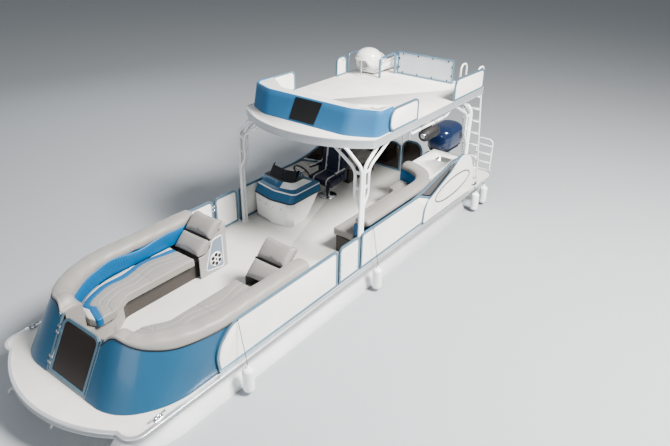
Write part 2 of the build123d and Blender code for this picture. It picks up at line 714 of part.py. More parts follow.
with BuildPart() as lounge_back:
    with BuildSketch(Plane.XY.offset(SEAT_TOP - CUSHION)):
        add(bow_band(FENCE_TOP, WALL + 12, BACK_IN, LOUNGE_END_Y - 20))
    extrude(amount=FENCE_TOP + 6 - SEAT_TOP + CUSHION)
    with BuildSketch(Plane.XY.offset(FENCE_TOP + 6)):
        add(bow_band(FENCE_TOP, 0, BACK_IN, LOUNGE_END_Y - 20))
    extrude(amount=BACK_TOP - FENCE_TOP - 6)
    # Cleared of the wall and its hump
    add(wall_part(-60, WALL + 8, raised=5), mode=Mode.SUBTRACT)
save(both_sides(lounge_back.part), "bow_seat_backs")

# Chaise backs: a leaning pad on a moulded side frame; the port one stands further aft
CHAISE_IN, CHAISE_OUT = AISLE_X, 962
PORT_SHIFT = 75


def chaise_pair(part):
    """The part on the port side, further aft, and its mirror image on the starboard side."""
    return Compound(children=[part.moved(Location((0, PORT_SHIFT, 0))), mirror(part, about=Plane.YZ)])


with BuildPart() as chaise_pad:
    with BuildSketch(side_plane(CHAISE_IN)):
        Polygon((-1366, 820), (-1218, 820), (-805, 1196), (-899, 1245), align=None)
    extrude(amount=CHAISE_OUT - CHAISE_IN)
save(chaise_pair(chaise_pad.part), "chaise_pads")

with BuildPart() as chaise_frame:
    with BuildSketch(side_plane(AISLE_X + 2)):
        Polygon((-1350, DECK_TOP), (-1350, 817), (-1221, 817), (-814, 1185), (-814, DECK_TOP), align=None)
    extrude(amount=24)
save(chaise_pair(chaise_frame.part), "chaise_frames")


# Aft lounge: runs along the port side and turns across in front of the stern counter
TURN_X, TURN_Y = 410, 2200      # centre of the turn
AFT_LOUNGE_START_Y = 520


def aft_lounge_plan(outer_x, inner_x):
    """Band between two distances from the centreline that turns through a right angle."""
    with BuildSketch() as plan:
        with BuildLine():
            rise = Line((outer_x, AFT_LOUNGE_START_Y), (outer_x, TURN_Y))
            turn = JernArc(rise @ 1, (0, 1), outer_x - TURN_X, 90)
            back = JernArc((TURN_X, TURN_Y + inner_x - TURN_X), (1, 0), inner_x - TURN_X, -90)
            fall = Line(back @ 1, (inner_x, AFT_LOUNGE_START_Y))
            Line(turn @ 1, back @ 0)
            Line(fall @ 1, rise @ 0)
        make_face()
    return plan.sketch


AFT_OUT_X, AFT_BACK_X, AFT_SEAT_X = 1150, 950, 560
with BuildPart() as aft_base:
    with BuildSketch(Plane.XY.offset(DECK_TOP)):
        add(aft_lounge_plan(AFT_OUT_X, AFT_SEAT_X + 60))
    extrude(amount=SEAT_TOP - CUSHION - DECK_TOP)
save(aft_base.part, "aft_lounge_base")

with BuildPart() as aft_seat:
    with BuildSketch(Plane.XY.offset(SEAT_TOP - CUSHION)):
        add(aft_lounge_plan(AFT_BACK_X - 4, AFT_SEAT_X))
    extrude(amount=CUSHION)
save(aft_seat.part, "aft_seat_cushion")

with BuildPart() as aft_back:
    with BuildSketch(Plane.XY.offset(SEAT_TOP - CUSHION)):
        add(aft_lounge_plan(AFT_OUT_X, AFT_BACK_X))
    extrude(amount=BACK_TOP - SEAT_TOP + CUSHION)
save(aft_back.part, "aft_seat_back")


# Starboard bench behind the helm
with BuildPart() as bench_base:
    with Locations((-950, 3150, (DECK_TOP + SEAT_TOP - CUSHION) / 2)):
        Box(480, 880, SEAT_TOP - CUSHION - DECK_TOP)
save(bench_base.part, "aft_bench_base")

with BuildPart() as bench_pads:
    with BuildSketch(cross_plane(2740)):
        with BuildLine():
            Polyline((-1212, SEAT_TOP - CUSHION), (-690, SEAT_TOP - CUSHION), (-690, SEAT_TOP), (-1040, SEAT_TOP),
                     (-1080, FENCE_TOP + 80), (-1212, FENCE_TOP + 80), close=True)
        make_face()
    extrude(amount=-870)
save(bench_pads.part, "aft_bench_pads")


# Stern counter: white moulding in the port stern corner
with BuildPart() as counter:
    with BuildSketch(Plane.XY.offset(DECK_TOP)):
        with BuildLine():
            edge = CenterArc((TURN_X, TURN_Y), AFT_OUT_X - TURN_X + 14, 17, 66)
            Polyline(edge @ 1, ((edge @ 1).X, 3790), ((edge @ 0).X, 3790), edge @ 0)
        make_face()
    extrude(amount=700)
    fillet(counter.edges().group_by(Axis.Z)[-1], radius=14)
    # Sink bowl
    with BuildSketch(Plane.XY.offset(DECK_TOP + 700)):
        with Locations((900, 3420)):
            RectangleRounded(260, 220, 60)
    extrude(amount=-110, mode=Mode.SUBTRACT)
save(counter.part, "stern_counter")


# Helm: white lower cabinet that rakes in toward its foot, blue moulding over it, binnacle, raked screen and wheel
HELM_LOW_TOP, HELM_TOP, DASH_TOP = 910, 1065, 1155
HELM_OUT = -1212


def helm_plan(z, front, middle, corner, aisle, aft):
    """Plan of the helm at one height: a bowed front, a round corner at the aisle and a straight back."""
    with BuildSketch(Plane.XY.offset(z)) as plan:
        with BuildLine():
            FilletPolyline((HELM_OUT, front), (-765, middle), (aisle, corner), (aisle, aft), (HELM_OUT, aft),
                           radius=[40, 300, 105, 50, 10], close=True)
        make_face()
    return plan.sketch


with BuildPart() as helm_cabinet:
    add(helm_plan(DECK_TOP, 655, 565, 625, -405, 1070))
    add(helm_plan(HELM_LOW_TOP, 650, 558, 612, -368, 1372))
    loft()
save(helm_cabinet.part, "helm_cabinet")

WHEEL_X, WHEEL_Y, WHEEL_Z = -880, 1500, 1060
WHEEL_SHAFT_R = 12
WHEEL_TILT = 62
wheel_plane = Plane(origin=(WHEEL_X, WHEEL_Y, WHEEL_Z), x_dir=(1, 0, 0),
                    z_dir=(0, sin(radians(WHEEL_TILT)), cos(radians(WHEEL_TILT))))
with BuildPart() as helm_pod:
    add(helm_plan(HELM_LOW_TOP, 628, 535, 590, -345, 1400))
    add(helm_plan(HELM_TOP, 725, 640, 700, -362, 1388))
    loft()
    # Binnacle that rises to the screen
    add(helm_plan(HELM_TOP - 5, 800, 735, 805, -480, 1345))
    add(helm_plan(DASH_TOP, 880, 815, 880, -545, 1160))
    loft()
    # Boss that holds the wheel's shaft
    with BuildSketch(wheel_plane.offset(-130)):
        Circle(34)
    extrude(amount=75)
    with BuildSketch(wheel_plane.offset(-118)):
        Circle(WHEEL_SHAFT_R + 0.3)
    extrude(amount=100, mode=Mode.SUBTRACT)
save(helm_pod.part, "helm_pod")

with BuildPart() as helm_screen:
    with BuildSketch(Plane.XY.offset(DASH_TOP)):
        with BuildLine():
            FilletPolyline((-1150, 1000), (-1135, 915), (-800, 855), (-605, 915), (-590, 1000), radius=[60, 150, 60])
        trace(line_width=8)
    extrude(amount=190, dir=(0, 0.62, 0.78))
save(helm_screen.part, "helm_screen")

with BuildPart(wheel_plane) as steering_wheel:
    Torus(165, 13)
    Cylinder(34, 30)
    with Locations((0, 0, -60)):
        Cylinder(WHEEL_SHAFT_R, 100)
    with PolarLocations(88, 3, start_angle=90):
        Box(150, 26, 8)
save(steering_wheel.part, "steering_wheel")


# Captain's chair: pedestal and swivelling seat with arms
CHAIR_X, CHAIR_Y = -700, 2030
with BuildPart() as chair_base:
    with Locations((CHAIR_X, CHAIR_Y, DECK_TOP + 8)):
        Cylinder(170, 16)
    with Locations((CHAIR_X, CHAIR_Y, DECK_TOP + 150)):
        Cylinder(40, 280)
save(chair_base.part, "chair_pedestal")

with BuildPart() as chair_seat:
    with BuildSketch(side_plane(CHAIR_X)):
        with BuildLine():
            FilletPolyline((CHAIR_Y - 250, 760), (CHAIR_Y + 250, 760), (CHAIR_Y + 330, 1450), (CHAIR_Y + 200, 1450),
                           (CHAIR_Y + 130, 900), (CHAIR_Y - 250, 900), radius=[40, 60, 50, 50, 30, 50], close=True)
        make_face()
    extrude(amount=260, both=True)
    for side in (-1, 1):
        with Locations((CHAIR_X + side * 285, CHAIR_Y - 10, 1010)):
            Box(50, 330, 50)
        with Locations((CHAIR_X + side * 285, CHAIR_Y + 130, 900)):
            Box(50, 50, 180)
    with Locations((CHAIR_X, CHAIR_Y, 757)):
        Cylinder(90, 12)
save(chair_seat.part, "chair_seat")


# Motor pod: closed hull section under the stern that carries the motor
POD_AFT_Y = 4880
with BuildPart() as motor_pod:
    with BuildSketch(side_plane(0)):
        with BuildLine():
            Polyline((TUBE_AFT_Y + 2, -250), (4780, -170), (POD_AFT_Y, 400), (4836, 400), (4816, 370),
                     (4480, 370), (4460, 400), (3880, 400), (3880, 340), (TUBE_AFT_Y + 2, 340), close=True)
        make_face()
    extrude(amount=420, both=True)
    chamfer(motor_pod.faces().sort_by(Axis.Z)[0].edges().filter_by(lambda e: abs(e.center().X) > 400), length=150)
save(motor_pod.part, "motor_pod")


# Outboard motor: clamp plates, swivel, leg with gearcase, cowl, engine and propeller
TILT_Y, TILT_Z = 4930, 350
STEER_Y = 5030
with BuildPart() as clamp_bracket:
    with BuildSketch(side_plane(118)):
        with BuildLine():
            FilletPolyline((POD_AFT_Y + 1, 400), (TILT_Y + 30, 400), (TILT_Y + 40, 300), (POD_AFT_Y + 10, 20),
                           (POD_AFT_Y - 62, 45), radius=[10, 40, 60, 30, 5], close=True)
        make_face()
    extrude(amount=22)
    mirror(about=Plane.YZ)
    with Locations((0, TILT_Y, TILT_Z)):
        Cylinder(17, 290, rotation=(0, 90, 0))
save(clamp_bracket.part, "clamp_bracket")

with BuildPart() as swivel_bracket:
    with Locations((0, TILT_Y, TILT_Z)):
        Cylinder(32, 220, rotation=(0, 90, 0))
    with Locations((0, TILT_Y + 50, TILT_Z - 30)):
        Box(180, 100, 40)
    with Locations((0, STEER_Y, 165)):
        Cylinder(44, 350)
    with BuildSketch(side_plane(0)):
        Polygon((TILT_Y + 10, 320), (STEER_Y, 320), (STEER_Y, 10), (STEER_Y - 30, 10), align=None)
    extrude(amount=40, both=True)
    with Locations((0, TILT_Y, TILT_Z)):
        Cylinder(17.3, 290, rotation=(0, 90, 0), mode=Mode.SUBTRACT)
save(swivel_bracket.part, "swivel_bracket")

GEAR_Z = -560
PROP_Y = 5460
LEG = (
    # z, length, width, middle in y
    (660, 430, 300, 5290),
    (420, 290, 160, 5270),
    (-330, 320, 90, 5260),
    (GEAR_Z + 20, 240, 56, 5312),
)
with BuildPart() as motor_leg:
    # Leg: streamlined sections from the cowl's foot down to the gearcase
    for leg_z, leg_long, leg_wide, leg_y in LEG:
        with BuildSketch(Plane.XY.offset(leg_z)):
            with Locations((0, leg_y)):
                RectangleRounded(leg_wide, leg_long, leg_wide * 0.45)
    loft(ruled=True)
    # Tray under the cowl
    with BuildSketch(Plane.XY.offset(636)):
        with Locations((0, 5250)):
            RectangleRounded(450, 750, 165)
    extrude(amount=24)
    # Anti-ventilation plate
    with BuildSketch(Plane.XY.offset(-336)):
        with Locations((0, 5330)):
            RectangleRounded(250, 480, 110)
    extrude(amount=10)
    # Gearcase
    with BuildSketch(side_plane(0)):
        with BuildLine():
            Polyline((4985, GEAR_Z + 14), (4985, GEAR_Z), (PROP_Y - 5, GEAR_Z), (PROP_Y - 5, GEAR_Z + 52),
                     (5300, GEAR_Z + 62), (5180, GEAR_Z + 62))
            TangentArc((5180, GEAR_Z + 62), (4985, GEAR_Z + 14), tangent=(-1, 0))
        make_face()
    revolve(axis=Axis((0, 0, GEAR_Z), (0, 1, 0)))
    # Skeg
    with BuildSketch(side_plane(0)):
        Polygon((5100, GEAR_Z - 40), (5300, -770), (5400, -770), (5380, GEAR_Z - 40), align=None)
    extrude(amount=7, both=True)
    # Yokes that turn on the swivel
    with Locations((0, 5110, 372), (0, 5110, -40)):
        Box(84, 220, 44)
    with Locations((0, STEER_Y, 372), (0, STEER_Y, -40)):
        Cylinder(46, 44)
save(motor_leg.part, "motor_leg")


def cowl_section(z, wide, long, y, corner, inset=0):
    with BuildSketch(Plane.XY.offset(z)) as section:
        with Locations((0, y)):
            RectangleRounded(wide - 2 * inset, long - 2 * inset, corner - inset)
    return section.sketch


COWL = (
    # z, width, length, middle in y, corner
    (662, 460, 760, 5250, 170),
    (770, 550, 870, 5270, 210),
    (960, 560, 880, 5280, 220),
    (1090, 490, 790, 5280, 200),
    (1165, 320, 570, 5280, 150),
)
COWL_WALL = 12
with BuildPart() as motor_cowl:
    for low, high in zip(COWL, COWL[1:]):
        loft([cowl_section(*low), cowl_section(*high)])
    for low, high in zip(COWL, COWL[1:]):
        high_z = high[0] - (COWL_WALL if high is COWL[-1] else 0)
        loft([cowl_section(*low, inset=COWL_WALL), cowl_section(high_z, *high[1:], inset=COWL_WALL)],
             mode=Mode.SUBTRACT)
save(motor_cowl.part, "motor_cowl")

with BuildPart() as engine_block:
    with Locations((0, 5260, 870)):
        Box(300, 480, 410)
save(engine_block.part, "engine_block")

# Propeller: hub with three pitched blades that twist and thin toward the tip
BLADE = (
    # radius, middle behind the hub's face, pitch angle, half chord, half thickness
    (30, 66, 52, 64, 9),
    (90, 70, 40, 84, 8),
    (145, 76, 30, 82, 6),
    (190, 84, 22, 34, 3),
)
with BuildPart() as propeller:
    with BuildSketch(Plane.XY):
        with BuildLine():
            Polyline((0, PROP_Y), (50, PROP_Y), (56, PROP_Y + 130), (34, PROP_Y + 150), (0, PROP_Y + 150), close=True)
        make_face()
    revolve(axis=Axis.Y)
    for turn in (0, 120, 240):
        blade_plane = Plane.XY.rotated((0, turn, 0))
        for blade_r, behind, pitch, chord, thick in BLADE:
            with BuildSketch(blade_plane.offset(blade_r)):
                with Locations(Location((0, PROP_Y + behind), 90 - pitch)):
                    Ellipse(chord, thick)
        loft()
save(propeller.part.moved(Location((0, 0, GEAR_Z))), "propeller")


# Cleats: horn cleats at the bow, amidships and the stern
with BuildPart() as cleat:
    with Locations((0, 0, 6)):
        Box(44, 110, 12)
    with Locations((0, -28, 24), (0, 28, 24)):
        Box(18, 20, 28)
    with Locations((0, 0, 44)):
        Cylinder(9, 190, rotation=(90, 0, 0))
cleats = []
for cleat_y, cleat_z, cleat_x in ((-3440, TRIM_HIGH, 1240), (4250, PLATFORM_TOP, 1230)):
    for side in (-1, 1):
        cleats.append(cleat.part.moved(Location((side * cleat_x, cleat_y, cleat_z))))
save(Compound(children=cleats), "cleats")


# Fenders on taut lines, along the port side and at the port quarter
FENDER_R = 74
fenders = []
for fender_y, fender_x in ((-2240, 1382), (580, 1382), (4020, 1374), (4420, 1362)):
    with BuildPart() as fender:
        with BuildSketch(side_plane(fender_x)):
            with BuildLine():
                FilletPolyline((fender_y, 40), (fender_y + FENDER_R, 40), (fender_y + FENDER_R, 400), (fender_y, 400),
                               radius=[55, 55])
                Line((fender_y, 400), (fender_y, 40))
            make_face()
        revolve(axis=Axis((fender_x, fender_y, 0), (0, 0, 1)))
        with Locations((fender_x, fender_y, 415)):
            Cylinder(16, 40)
    fenders.append(fender.part)
save(Compound(children=fenders), "fenders")

# Taut lines from the fenders' eyes up to the rail
FENDER_LINES = (
    # y, eye's x, rail's x, rail's z
    (-2240, 1382, 1266, 1060),
    (580, 1382, 1266, 1060),
    (4020, 1374, 1294, 560),
    (4420, 1362, 1288, 462),
)
lines = []
for line_y, eye_x, rail_x, rail_z in FENDER_LINES:
    with BuildPart() as fender_line:
        add(tube_part(((eye_x, line_y, 440), (rail_x, line_y, rail_z)), [], 4))
    lines.append(fender_line.part)
save(Compound(children=lines), "fender_lines")


# Tower speaker clamped to a tube that hangs under the port edge of the upper deck
HANGER_X, HANGER_Z, HANGER_R = 1168, 2205, 22
SPEAKER_Z = 2060
with BuildPart() as speaker:
    add(tube_part(((HANGER_X, 1640, UPPER_LOW - 2), (HANGER_X, 1640, HANGER_Z), (HANGER_X, 2780, HANGER_Z),
                   (HANGER_X, 2905, 2262), (HANGER_X, 2905, UPPER_LOW - 2)), [60, 80, 24], HANGER_R))
    for clamp_y in (1900, 2340, 2640):
        with Locations((HANGER_X, clamp_y, HANGER_Z)):
            Cylinder(HANGER_R + 7, 40, rotation=(90, 0, 0))
    with BuildSketch(Plane(origin=(HANGER_X, 0, SPEAKER_Z), x_dir=(1, 0, 0), z_dir=(0, 0, 1))):
        with BuildLine():
            Polyline((0, 2060), (88, 2060), (98, 2078), (98, 2330))
            ThreePointArc((98, 2330), (78, 2470), (18, 2540))
            Polyline((18, 2540), (0, 2540), (0, 2060))
        make_face()
    revolve(axis=Axis((HANGER_X, 0, SPEAKER_Z), (0, 1, 0)))
    with Locations((HANGER_X, 2340, (SPEAKER_Z + HANGER_Z) / 2)):
        Box(34, 60, HANGER_Z - SPEAKER_Z)
save(speaker.part, "tower_speaker")
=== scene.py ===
import json
from math import atan2, copysign, cos, pi, radians, sin, tan

import bmesh
import bpy
from mathutils import Matrix, Vector, bvhtree


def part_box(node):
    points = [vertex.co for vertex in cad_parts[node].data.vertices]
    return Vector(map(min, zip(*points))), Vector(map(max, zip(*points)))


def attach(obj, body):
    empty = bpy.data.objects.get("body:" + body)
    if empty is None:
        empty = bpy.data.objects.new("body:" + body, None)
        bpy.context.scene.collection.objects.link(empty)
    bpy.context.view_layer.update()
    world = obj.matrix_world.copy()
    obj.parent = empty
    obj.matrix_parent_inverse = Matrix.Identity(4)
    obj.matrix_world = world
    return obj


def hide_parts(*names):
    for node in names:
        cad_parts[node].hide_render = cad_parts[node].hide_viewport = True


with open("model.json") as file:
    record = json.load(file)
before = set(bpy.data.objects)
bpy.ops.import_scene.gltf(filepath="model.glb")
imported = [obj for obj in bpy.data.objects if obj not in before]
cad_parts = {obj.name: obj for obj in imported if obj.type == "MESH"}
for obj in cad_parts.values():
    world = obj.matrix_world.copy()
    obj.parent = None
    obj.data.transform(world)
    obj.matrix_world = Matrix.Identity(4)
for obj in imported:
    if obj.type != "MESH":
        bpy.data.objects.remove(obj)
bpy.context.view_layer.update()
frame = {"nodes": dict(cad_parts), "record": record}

# View and studio
# The camera stands ahead of the port bow, above the upper deck, and looks down on the boat.
# The floor is the still waterline. One broad light stands to port, as high as the sun, with soft fills.
CAMERA_PLACE = Vector((5.495, -6.122, 5.384))
CAMERA_AZIMUTH = radians(36.40)
CAMERA_DROP = radians(28.27)
CAMERA_ROLL = radians(1.13)
SENSOR = 36.0
LENS = 32.64

toward_eye = Vector((sin(CAMERA_AZIMUTH) * cos(CAMERA_DROP), -cos(CAMERA_AZIMUTH) * cos(CAMERA_DROP),
                     sin(CAMERA_DROP)))
level_right = (-toward_eye).cross(Vector((0, 0, 1))).normalized()
level_up = level_right.cross(-toward_eye)
right = level_right * cos(CAMERA_ROLL) + level_up * sin(CAMERA_ROLL)
up = -level_right * sin(CAMERA_ROLL) + level_up * cos(CAMERA_ROLL)
lens = bpy.data.cameras.new("view")
lens.sensor_width = SENSOR
lens.lens = LENS
lens.clip_end = 300
camera = bpy.data.objects.new("view", lens)
camera.matrix_world = Matrix((right, up, toward_eye)).transposed().to_4x4()
camera.matrix_world.translation = CAMERA_PLACE
bpy.context.scene.collection.objects.link(camera)
bpy.context.scene.camera = camera
bpy.context.scene.view_settings.look = "AgX - Medium High Contrast"


def studio_light(name, place, target, size, power, colour):
    """Square soft light that faces a point."""
    lamp = bpy.data.lights.new(name, "AREA")
    lamp.shape = "SQUARE"
    lamp.size = size
    lamp.energy = power
    lamp.color = colour
    holder = bpy.data.objects.new(name, lamp)
    holder.location = place
    holder.rotation_euler = (Vector(target) - Vector(place)).to_track_quat("-Z", "Y").to_euler()
    bpy.context.scene.collection.objects.link(holder)


studio_light("port_key", (9.0, 1.5, 11.5), (0, 0, 0.8), 4.0, 5300, (1.0, 0.97, 0.93))
studio_light("bow_fill", (2.5, -12.0, 6.0), (0, 0, 1.0), 7.0, 480, (0.93, 0.96, 1.0))
studio_light("starboard_fill", (-10.0, 3.0, 7.0), (0, 0, 1.0), 8.0, 200, (0.93, 0.96, 1.0))

room = bpy.data.worlds.new("studio_room")
room.use_nodes = True
glow = room.node_tree.nodes["Background"].inputs
glow["Color"].default_value = (0.86, 0.90, 0.94, 1)
glow["Strength"].default_value = 0.31
bpy.context.scene.world = room

floor_shape = bmesh.new()
bmesh.ops.create_circle(floor_shape, cap_ends=True, radius=140, segments=64)
floor_mesh = bpy.data.meshes.new("studio_floor")
floor_shape.to_mesh(floor_mesh)
floor_shape.free()
studio_floor = bpy.data.objects.new("studio_floor", floor_mesh)
bpy.context.scene.collection.objects.link(studio_floor)
floor_paint = bpy.data.materials.new("studio_floor_paint")
floor_paint.use_nodes = True
floor_coat = floor_paint.node_tree.nodes["Principled BSDF"].inputs
floor_coat["Base Color"].default_value = (0.40, 0.42, 0.44, 1)
floor_coat["Roughness"].default_value = 0.75
floor_mesh.materials.append(floor_paint)


# Tubes
# Three rolled aluminium tubes carry the boat, each with a pressed nosecone, a keel and risers welded on.
# Cross members join them, bolted down on the risers. Their skin is satin.
def add_node(nodes, kind, **values):
    """New node of a material with the inputs that are named, an underscore standing for a space."""
    made = nodes.new("ShaderNode" + kind)
    for name, value in values.items():
        made.inputs[name.replace("_", " ")].default_value = value
    return made


def finish(name, colour, rough, metal=0.0, coat=0.0, grain=300.0, stretch=(1, 1, 1), relief=0.0004,
           shade=0.06):
    """Material on Object coordinates: colour follows a broad noise, roughness and relief a fine one."""
    skin = bpy.data.materials.new(name)
    skin.use_nodes = True
    nodes = skin.node_tree.nodes
    links = skin.node_tree.links
    shader = nodes["Principled BSDF"]
    for socket, value in (("Metallic", metal), ("Coat Weight", coat), ("Coat Roughness", 0.08)):
        shader.inputs[socket].default_value = value
    place = add_node(nodes, "TexCoord")
    scaled = add_node(nodes, "Mapping", Scale=stretch)
    links.new(place.outputs["Object"], scaled.inputs["Vector"])
    fine = add_node(nodes, "TexNoise", Scale=grain, Detail=4)
    links.new(scaled.outputs["Vector"], fine.inputs["Vector"])
    broad = add_node(nodes, "TexNoise", Scale=1.7, Detail=3)
    links.new(place.outputs["Object"], broad.inputs["Vector"])
    tint = add_node(nodes, "ValToRGB")
    tint.color_ramp.elements[0].position = 0.3
    tint.color_ramp.elements[1].position = 0.7
    tint.color_ramp.elements[0].color = [c * (1 - shade) for c in colour] + [1]
    tint.color_ramp.elements[1].color = [min(1, c * (1 + shade)) for c in colour] + [1]
    links.new(broad.outputs["Fac"], tint.inputs["Fac"])
    links.new(tint.outputs["Color"], shader.inputs["Base Color"])
    polish = add_node(nodes, "MapRange", From_Min=0.25, From_Max=0.75, To_Min=rough * 0.8,
                      To_Max=min(1, rough * 1.25))
    links.new(fine.outputs["Fac"], polish.inputs["Value"])
    links.new(polish.outputs["Result"], shader.inputs["Roughness"])
    bump = add_node(nodes, "Bump", Strength=0.6, Distance=relief)
    links.new(fine.outputs["Fac"], bump.inputs["Height"])
    links.new(bump.outputs["Normal"], shader.inputs["Normal"])
    return skin


def node_shape(name, flat=False):
    """A node's own shape as a welded bmesh, its flat faces made whole when asked."""
    shape = bmesh.new()
    shape.from_mesh(frame["nodes"][name].data)
    bmesh.ops.remove_doubles(shape, verts=shape.verts, dist=0.00005)
    if flat:
        bmesh.ops.dissolve_limit(shape, angle_limit=radians(0.6), verts=shape.verts, edges=shape.edges)
    return shape


def make_piece(name, shape, material, body="root", sharp=34):
    """Object from a bmesh, smooth up to an angle, that takes a slot's finish and rides on a body."""
    mesh = bpy.data.meshes.new(name)
    shape.to_mesh(mesh)
    shape.free()
    mesh.materials.clear()
    mesh.materials.append(material)
    mesh.shade_smooth()
    mesh.set_sharp_from_angle(angle=radians(sharp))
    made = bpy.data.objects.new(name, mesh)
    bpy.context.scene.collection.objects.link(made)
    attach(made, body)
    return made


def dress(node, material, body="root", sharp=34, edge=0.0):
    """Smooth copy of a node that stands in for it, with its edges eased."""
    made = make_piece(node + "_skin", node_shape(node, edge > 0), material, body, sharp)
    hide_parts(node)
    if edge:
        bevel = made.modifiers.new("eased_edges", "BEVEL")
        bevel.width = edge
        bevel.segments = 2
        bevel.limit_method = "ANGLE"
        bevel.angle_limit = radians(30)
        bevel.harden_normals = True
    return made


def paint_node(node, material):
    """Gives a node that keeps its own mesh its finish."""
    mesh = frame["nodes"][node].data
    mesh.materials.clear()
    mesh.materials.append(material)


tube_skin = finish("rolled_aluminium", (0.88, 0.89, 0.90), 0.34, metal=0.25, grain=90, stretch=(1, 6, 1),
                   relief=0.0003)
for part in ("port_tube", "center_tube", "starboard_tube", "cross_members"):
    dress(part, tube_skin)


# Main deck
# Marine plywood under one piece of pale woven vinyl, glued down and tucked under the trim's lip.
deck_floor = finish("woven_vinyl_floor", (0.66, 0.65, 0.62), 0.72, grain=420, relief=0.0012)
dress("deck", deck_floor)


# Deck trim
# Extruded aluminium round the whole deck, riveted on, with a rub rail pressed into its channel.
# The rail's dark grey is partly its own colour and partly painted shade of the channel.
def paint_faces(made, material, test):
    """Gives a second finish to the faces whose centre and normal pass a test."""
    made.data.materials.append(material)
    index = len(made.data.materials) - 1
    for face in made.data.polygons:
        if test(face.center, face.normal):
            face.material_index = index


def slice_shape(shape, place, normal, drop=False):
    """Cuts a shape through at a plane, and drops what lies beyond it when asked."""
    bmesh.ops.bisect_plane(shape, geom=shape.verts[:] + shape.edges[:] + shape.faces[:], plane_co=place,
                           plane_no=normal, clear_outer=drop)


def inset_band(node, low, high, depth, test):
    """A node's shape with the faces that pass a test moved in or out, between two heights."""
    shape = node_shape(node, flat=True)
    for height in (low, high):
        slice_shape(shape, (0, 0, height), (0, 0, 1))
    shape.normal_update()
    band = [face for face in shape.faces if test(face.calc_center_median(), face.normal)]
    bmesh.ops.inset_region(shape, faces=band, thickness=0.0, depth=depth, use_even_offset=True)
    return shape


def on_trim_band(spot, normal):
    """True on the trim's outer face between its two lips."""
    return (abs(normal.z) < 0.3 and normal.dot(Vector((spot.x, spot.y, 0))) > 0
            and TRIM_LOW < spot.z < TRIM_HIGH)


TRIM_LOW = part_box("deck_trim")[0].z + 0.016
TRIM_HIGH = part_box("deck_trim")[1].z - 0.016
RUB_RAIL_RISE = 0.007
trim_skin = finish("satin_trim", (0.66, 0.68, 0.70), 0.34, metal=0.7, grain=160, stretch=(1, 8, 1))
rub_rail_and_shade = finish("rub_rail_painted_shade", (0.30, 0.31, 0.32), 0.45, grain=300)
trim_shape = inset_band("deck_trim", TRIM_LOW, TRIM_HIGH, RUB_RAIL_RISE, on_trim_band)
trim = make_piece("deck_trim_skin", trim_shape, trim_skin, sharp=30)
# Rub rail band: its dark grey is partly the rail's own grey and partly painted shade in the trim's channel.
paint_faces(trim, rub_rail_and_shade, on_trim_band)
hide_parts("deck_trim")


# Swim platforms and motor pod
# Welded aluminium boxes bolted to the stern; the platforms carry the same pale flooring as the deck.
platform_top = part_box("deck")[1].z - 0.010
platforms = dress("swim_platforms", trim_skin, edge=0.003)
paint_faces(platforms, deck_floor, lambda spot, normal: normal.z > 0.9 and abs(spot.z - platform_top) < 0.004)
dress("motor_pod", tube_skin, edge=0.004)


# Bow walls
# Aluminium sheet rolled round each bow corner and faced with steel-blue film, with a hump beside the gate.
blue_wrap = finish("blue_wrap", (0.020, 0.092, 0.172), 0.38, coat=0.25, grain=500, relief=0.0001)
dress("bow_walls", blue_wrap)
rail_skin = finish("anodised_rail", (0.165, 0.260, 0.335), 0.32, metal=0.55, grain=200, stretch=(1, 8, 1))
dress("bow_gate_posts", rail_skin, edge=0.004)


# Side rails and sheets
# Square aluminium tube, bent and welded, anodised light blue, with painted sheet riveted inside it:
# white along the sides and smoked at the stern.
white_sheet = finish("white_sheet", (0.83, 0.825, 0.80), 0.3, coat=0.3, grain=600, relief=0.0001)
smoked = finish("smoked_sheet", (0.030, 0.022, 0.018), 0.12, coat=0.6, grain=600, relief=0.00005)
for rail in ("side_rails", "stern_rails"):
    dress(rail, rail_skin, edge=0.005)
dress("side_panels", white_sheet)
dress("stern_panels", smoked)


# Quarter panels
# Moulded white panels screwed outside the aft fences, with a light-blue edge and a bare dark oval line.
QUARTER_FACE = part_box("quarter_panels")[1].x
OVAL_RISE = 0.0045       # how far the oval line reaches in from the outermost face
quarter = dress("quarter_panels", white_sheet, sharp=25, edge=0.002)
paint_faces(quarter, rail_skin, lambda spot, normal:
            abs(normal.x) < 0.95 and abs(spot.x) < QUARTER_FACE - 0.006)
paint_faces(quarter, smoked, lambda spot, normal: abs(spot.x) > QUARTER_FACE - OVAL_RISE)


# Gates
# Leaves of the same square tube: white sheet in the side gates, smoked sheet at the bow and the stern.
# Snap studs for the covers run up both edges of each white sheet.
stainless = finish("stainless", (0.72, 0.73, 0.75), 0.18, metal=1.0, grain=300)
black_grip = finish("black_grip", (0.02, 0.02, 0.02), 0.5)
FENCE_X = 1.249
SHEET_HALF = 0.0055
STERN_GATE_Y = 3.835
STUD_HEIGHTS = (0.09, 0.20, 0.31, 0.42, 0.52)     # over the leaf's foot
STUD_DOME = Matrix.Diagonal((1, 1, 0.5, 1))
JOINTS = {joint["name"]: joint for joint in frame["record"]["behaviour"]["joints"]}
bow_joint = JOINTS["bow_gate_swing"]
bow_out = Vector((0, bow_joint["axis"][2], -bow_joint["axis"][1]))
bow_hinge = Vector(bow_joint["pos_m"]) - bow_out * 0.013
GATES = (
    # node, body, sheet, outward direction, a point in the sheet's middle plane
    ("bow_gate", "bow_gate_leaf", smoked, bow_out, bow_hinge),
    ("port_gate", "port_gate_leaf", white_sheet, Vector((1, 0, 0)), Vector((FENCE_X, 0, 0))),
    ("starboard_gate", "starboard_gate_leaf", white_sheet, Vector((-1, 0, 0)), Vector((-FENCE_X, 0, 0))),
    ("stern_gate", "stern_gate_leaf", smoked, Vector((0, 1, 0)), Vector((0, STERN_GATE_Y, 0))),
)


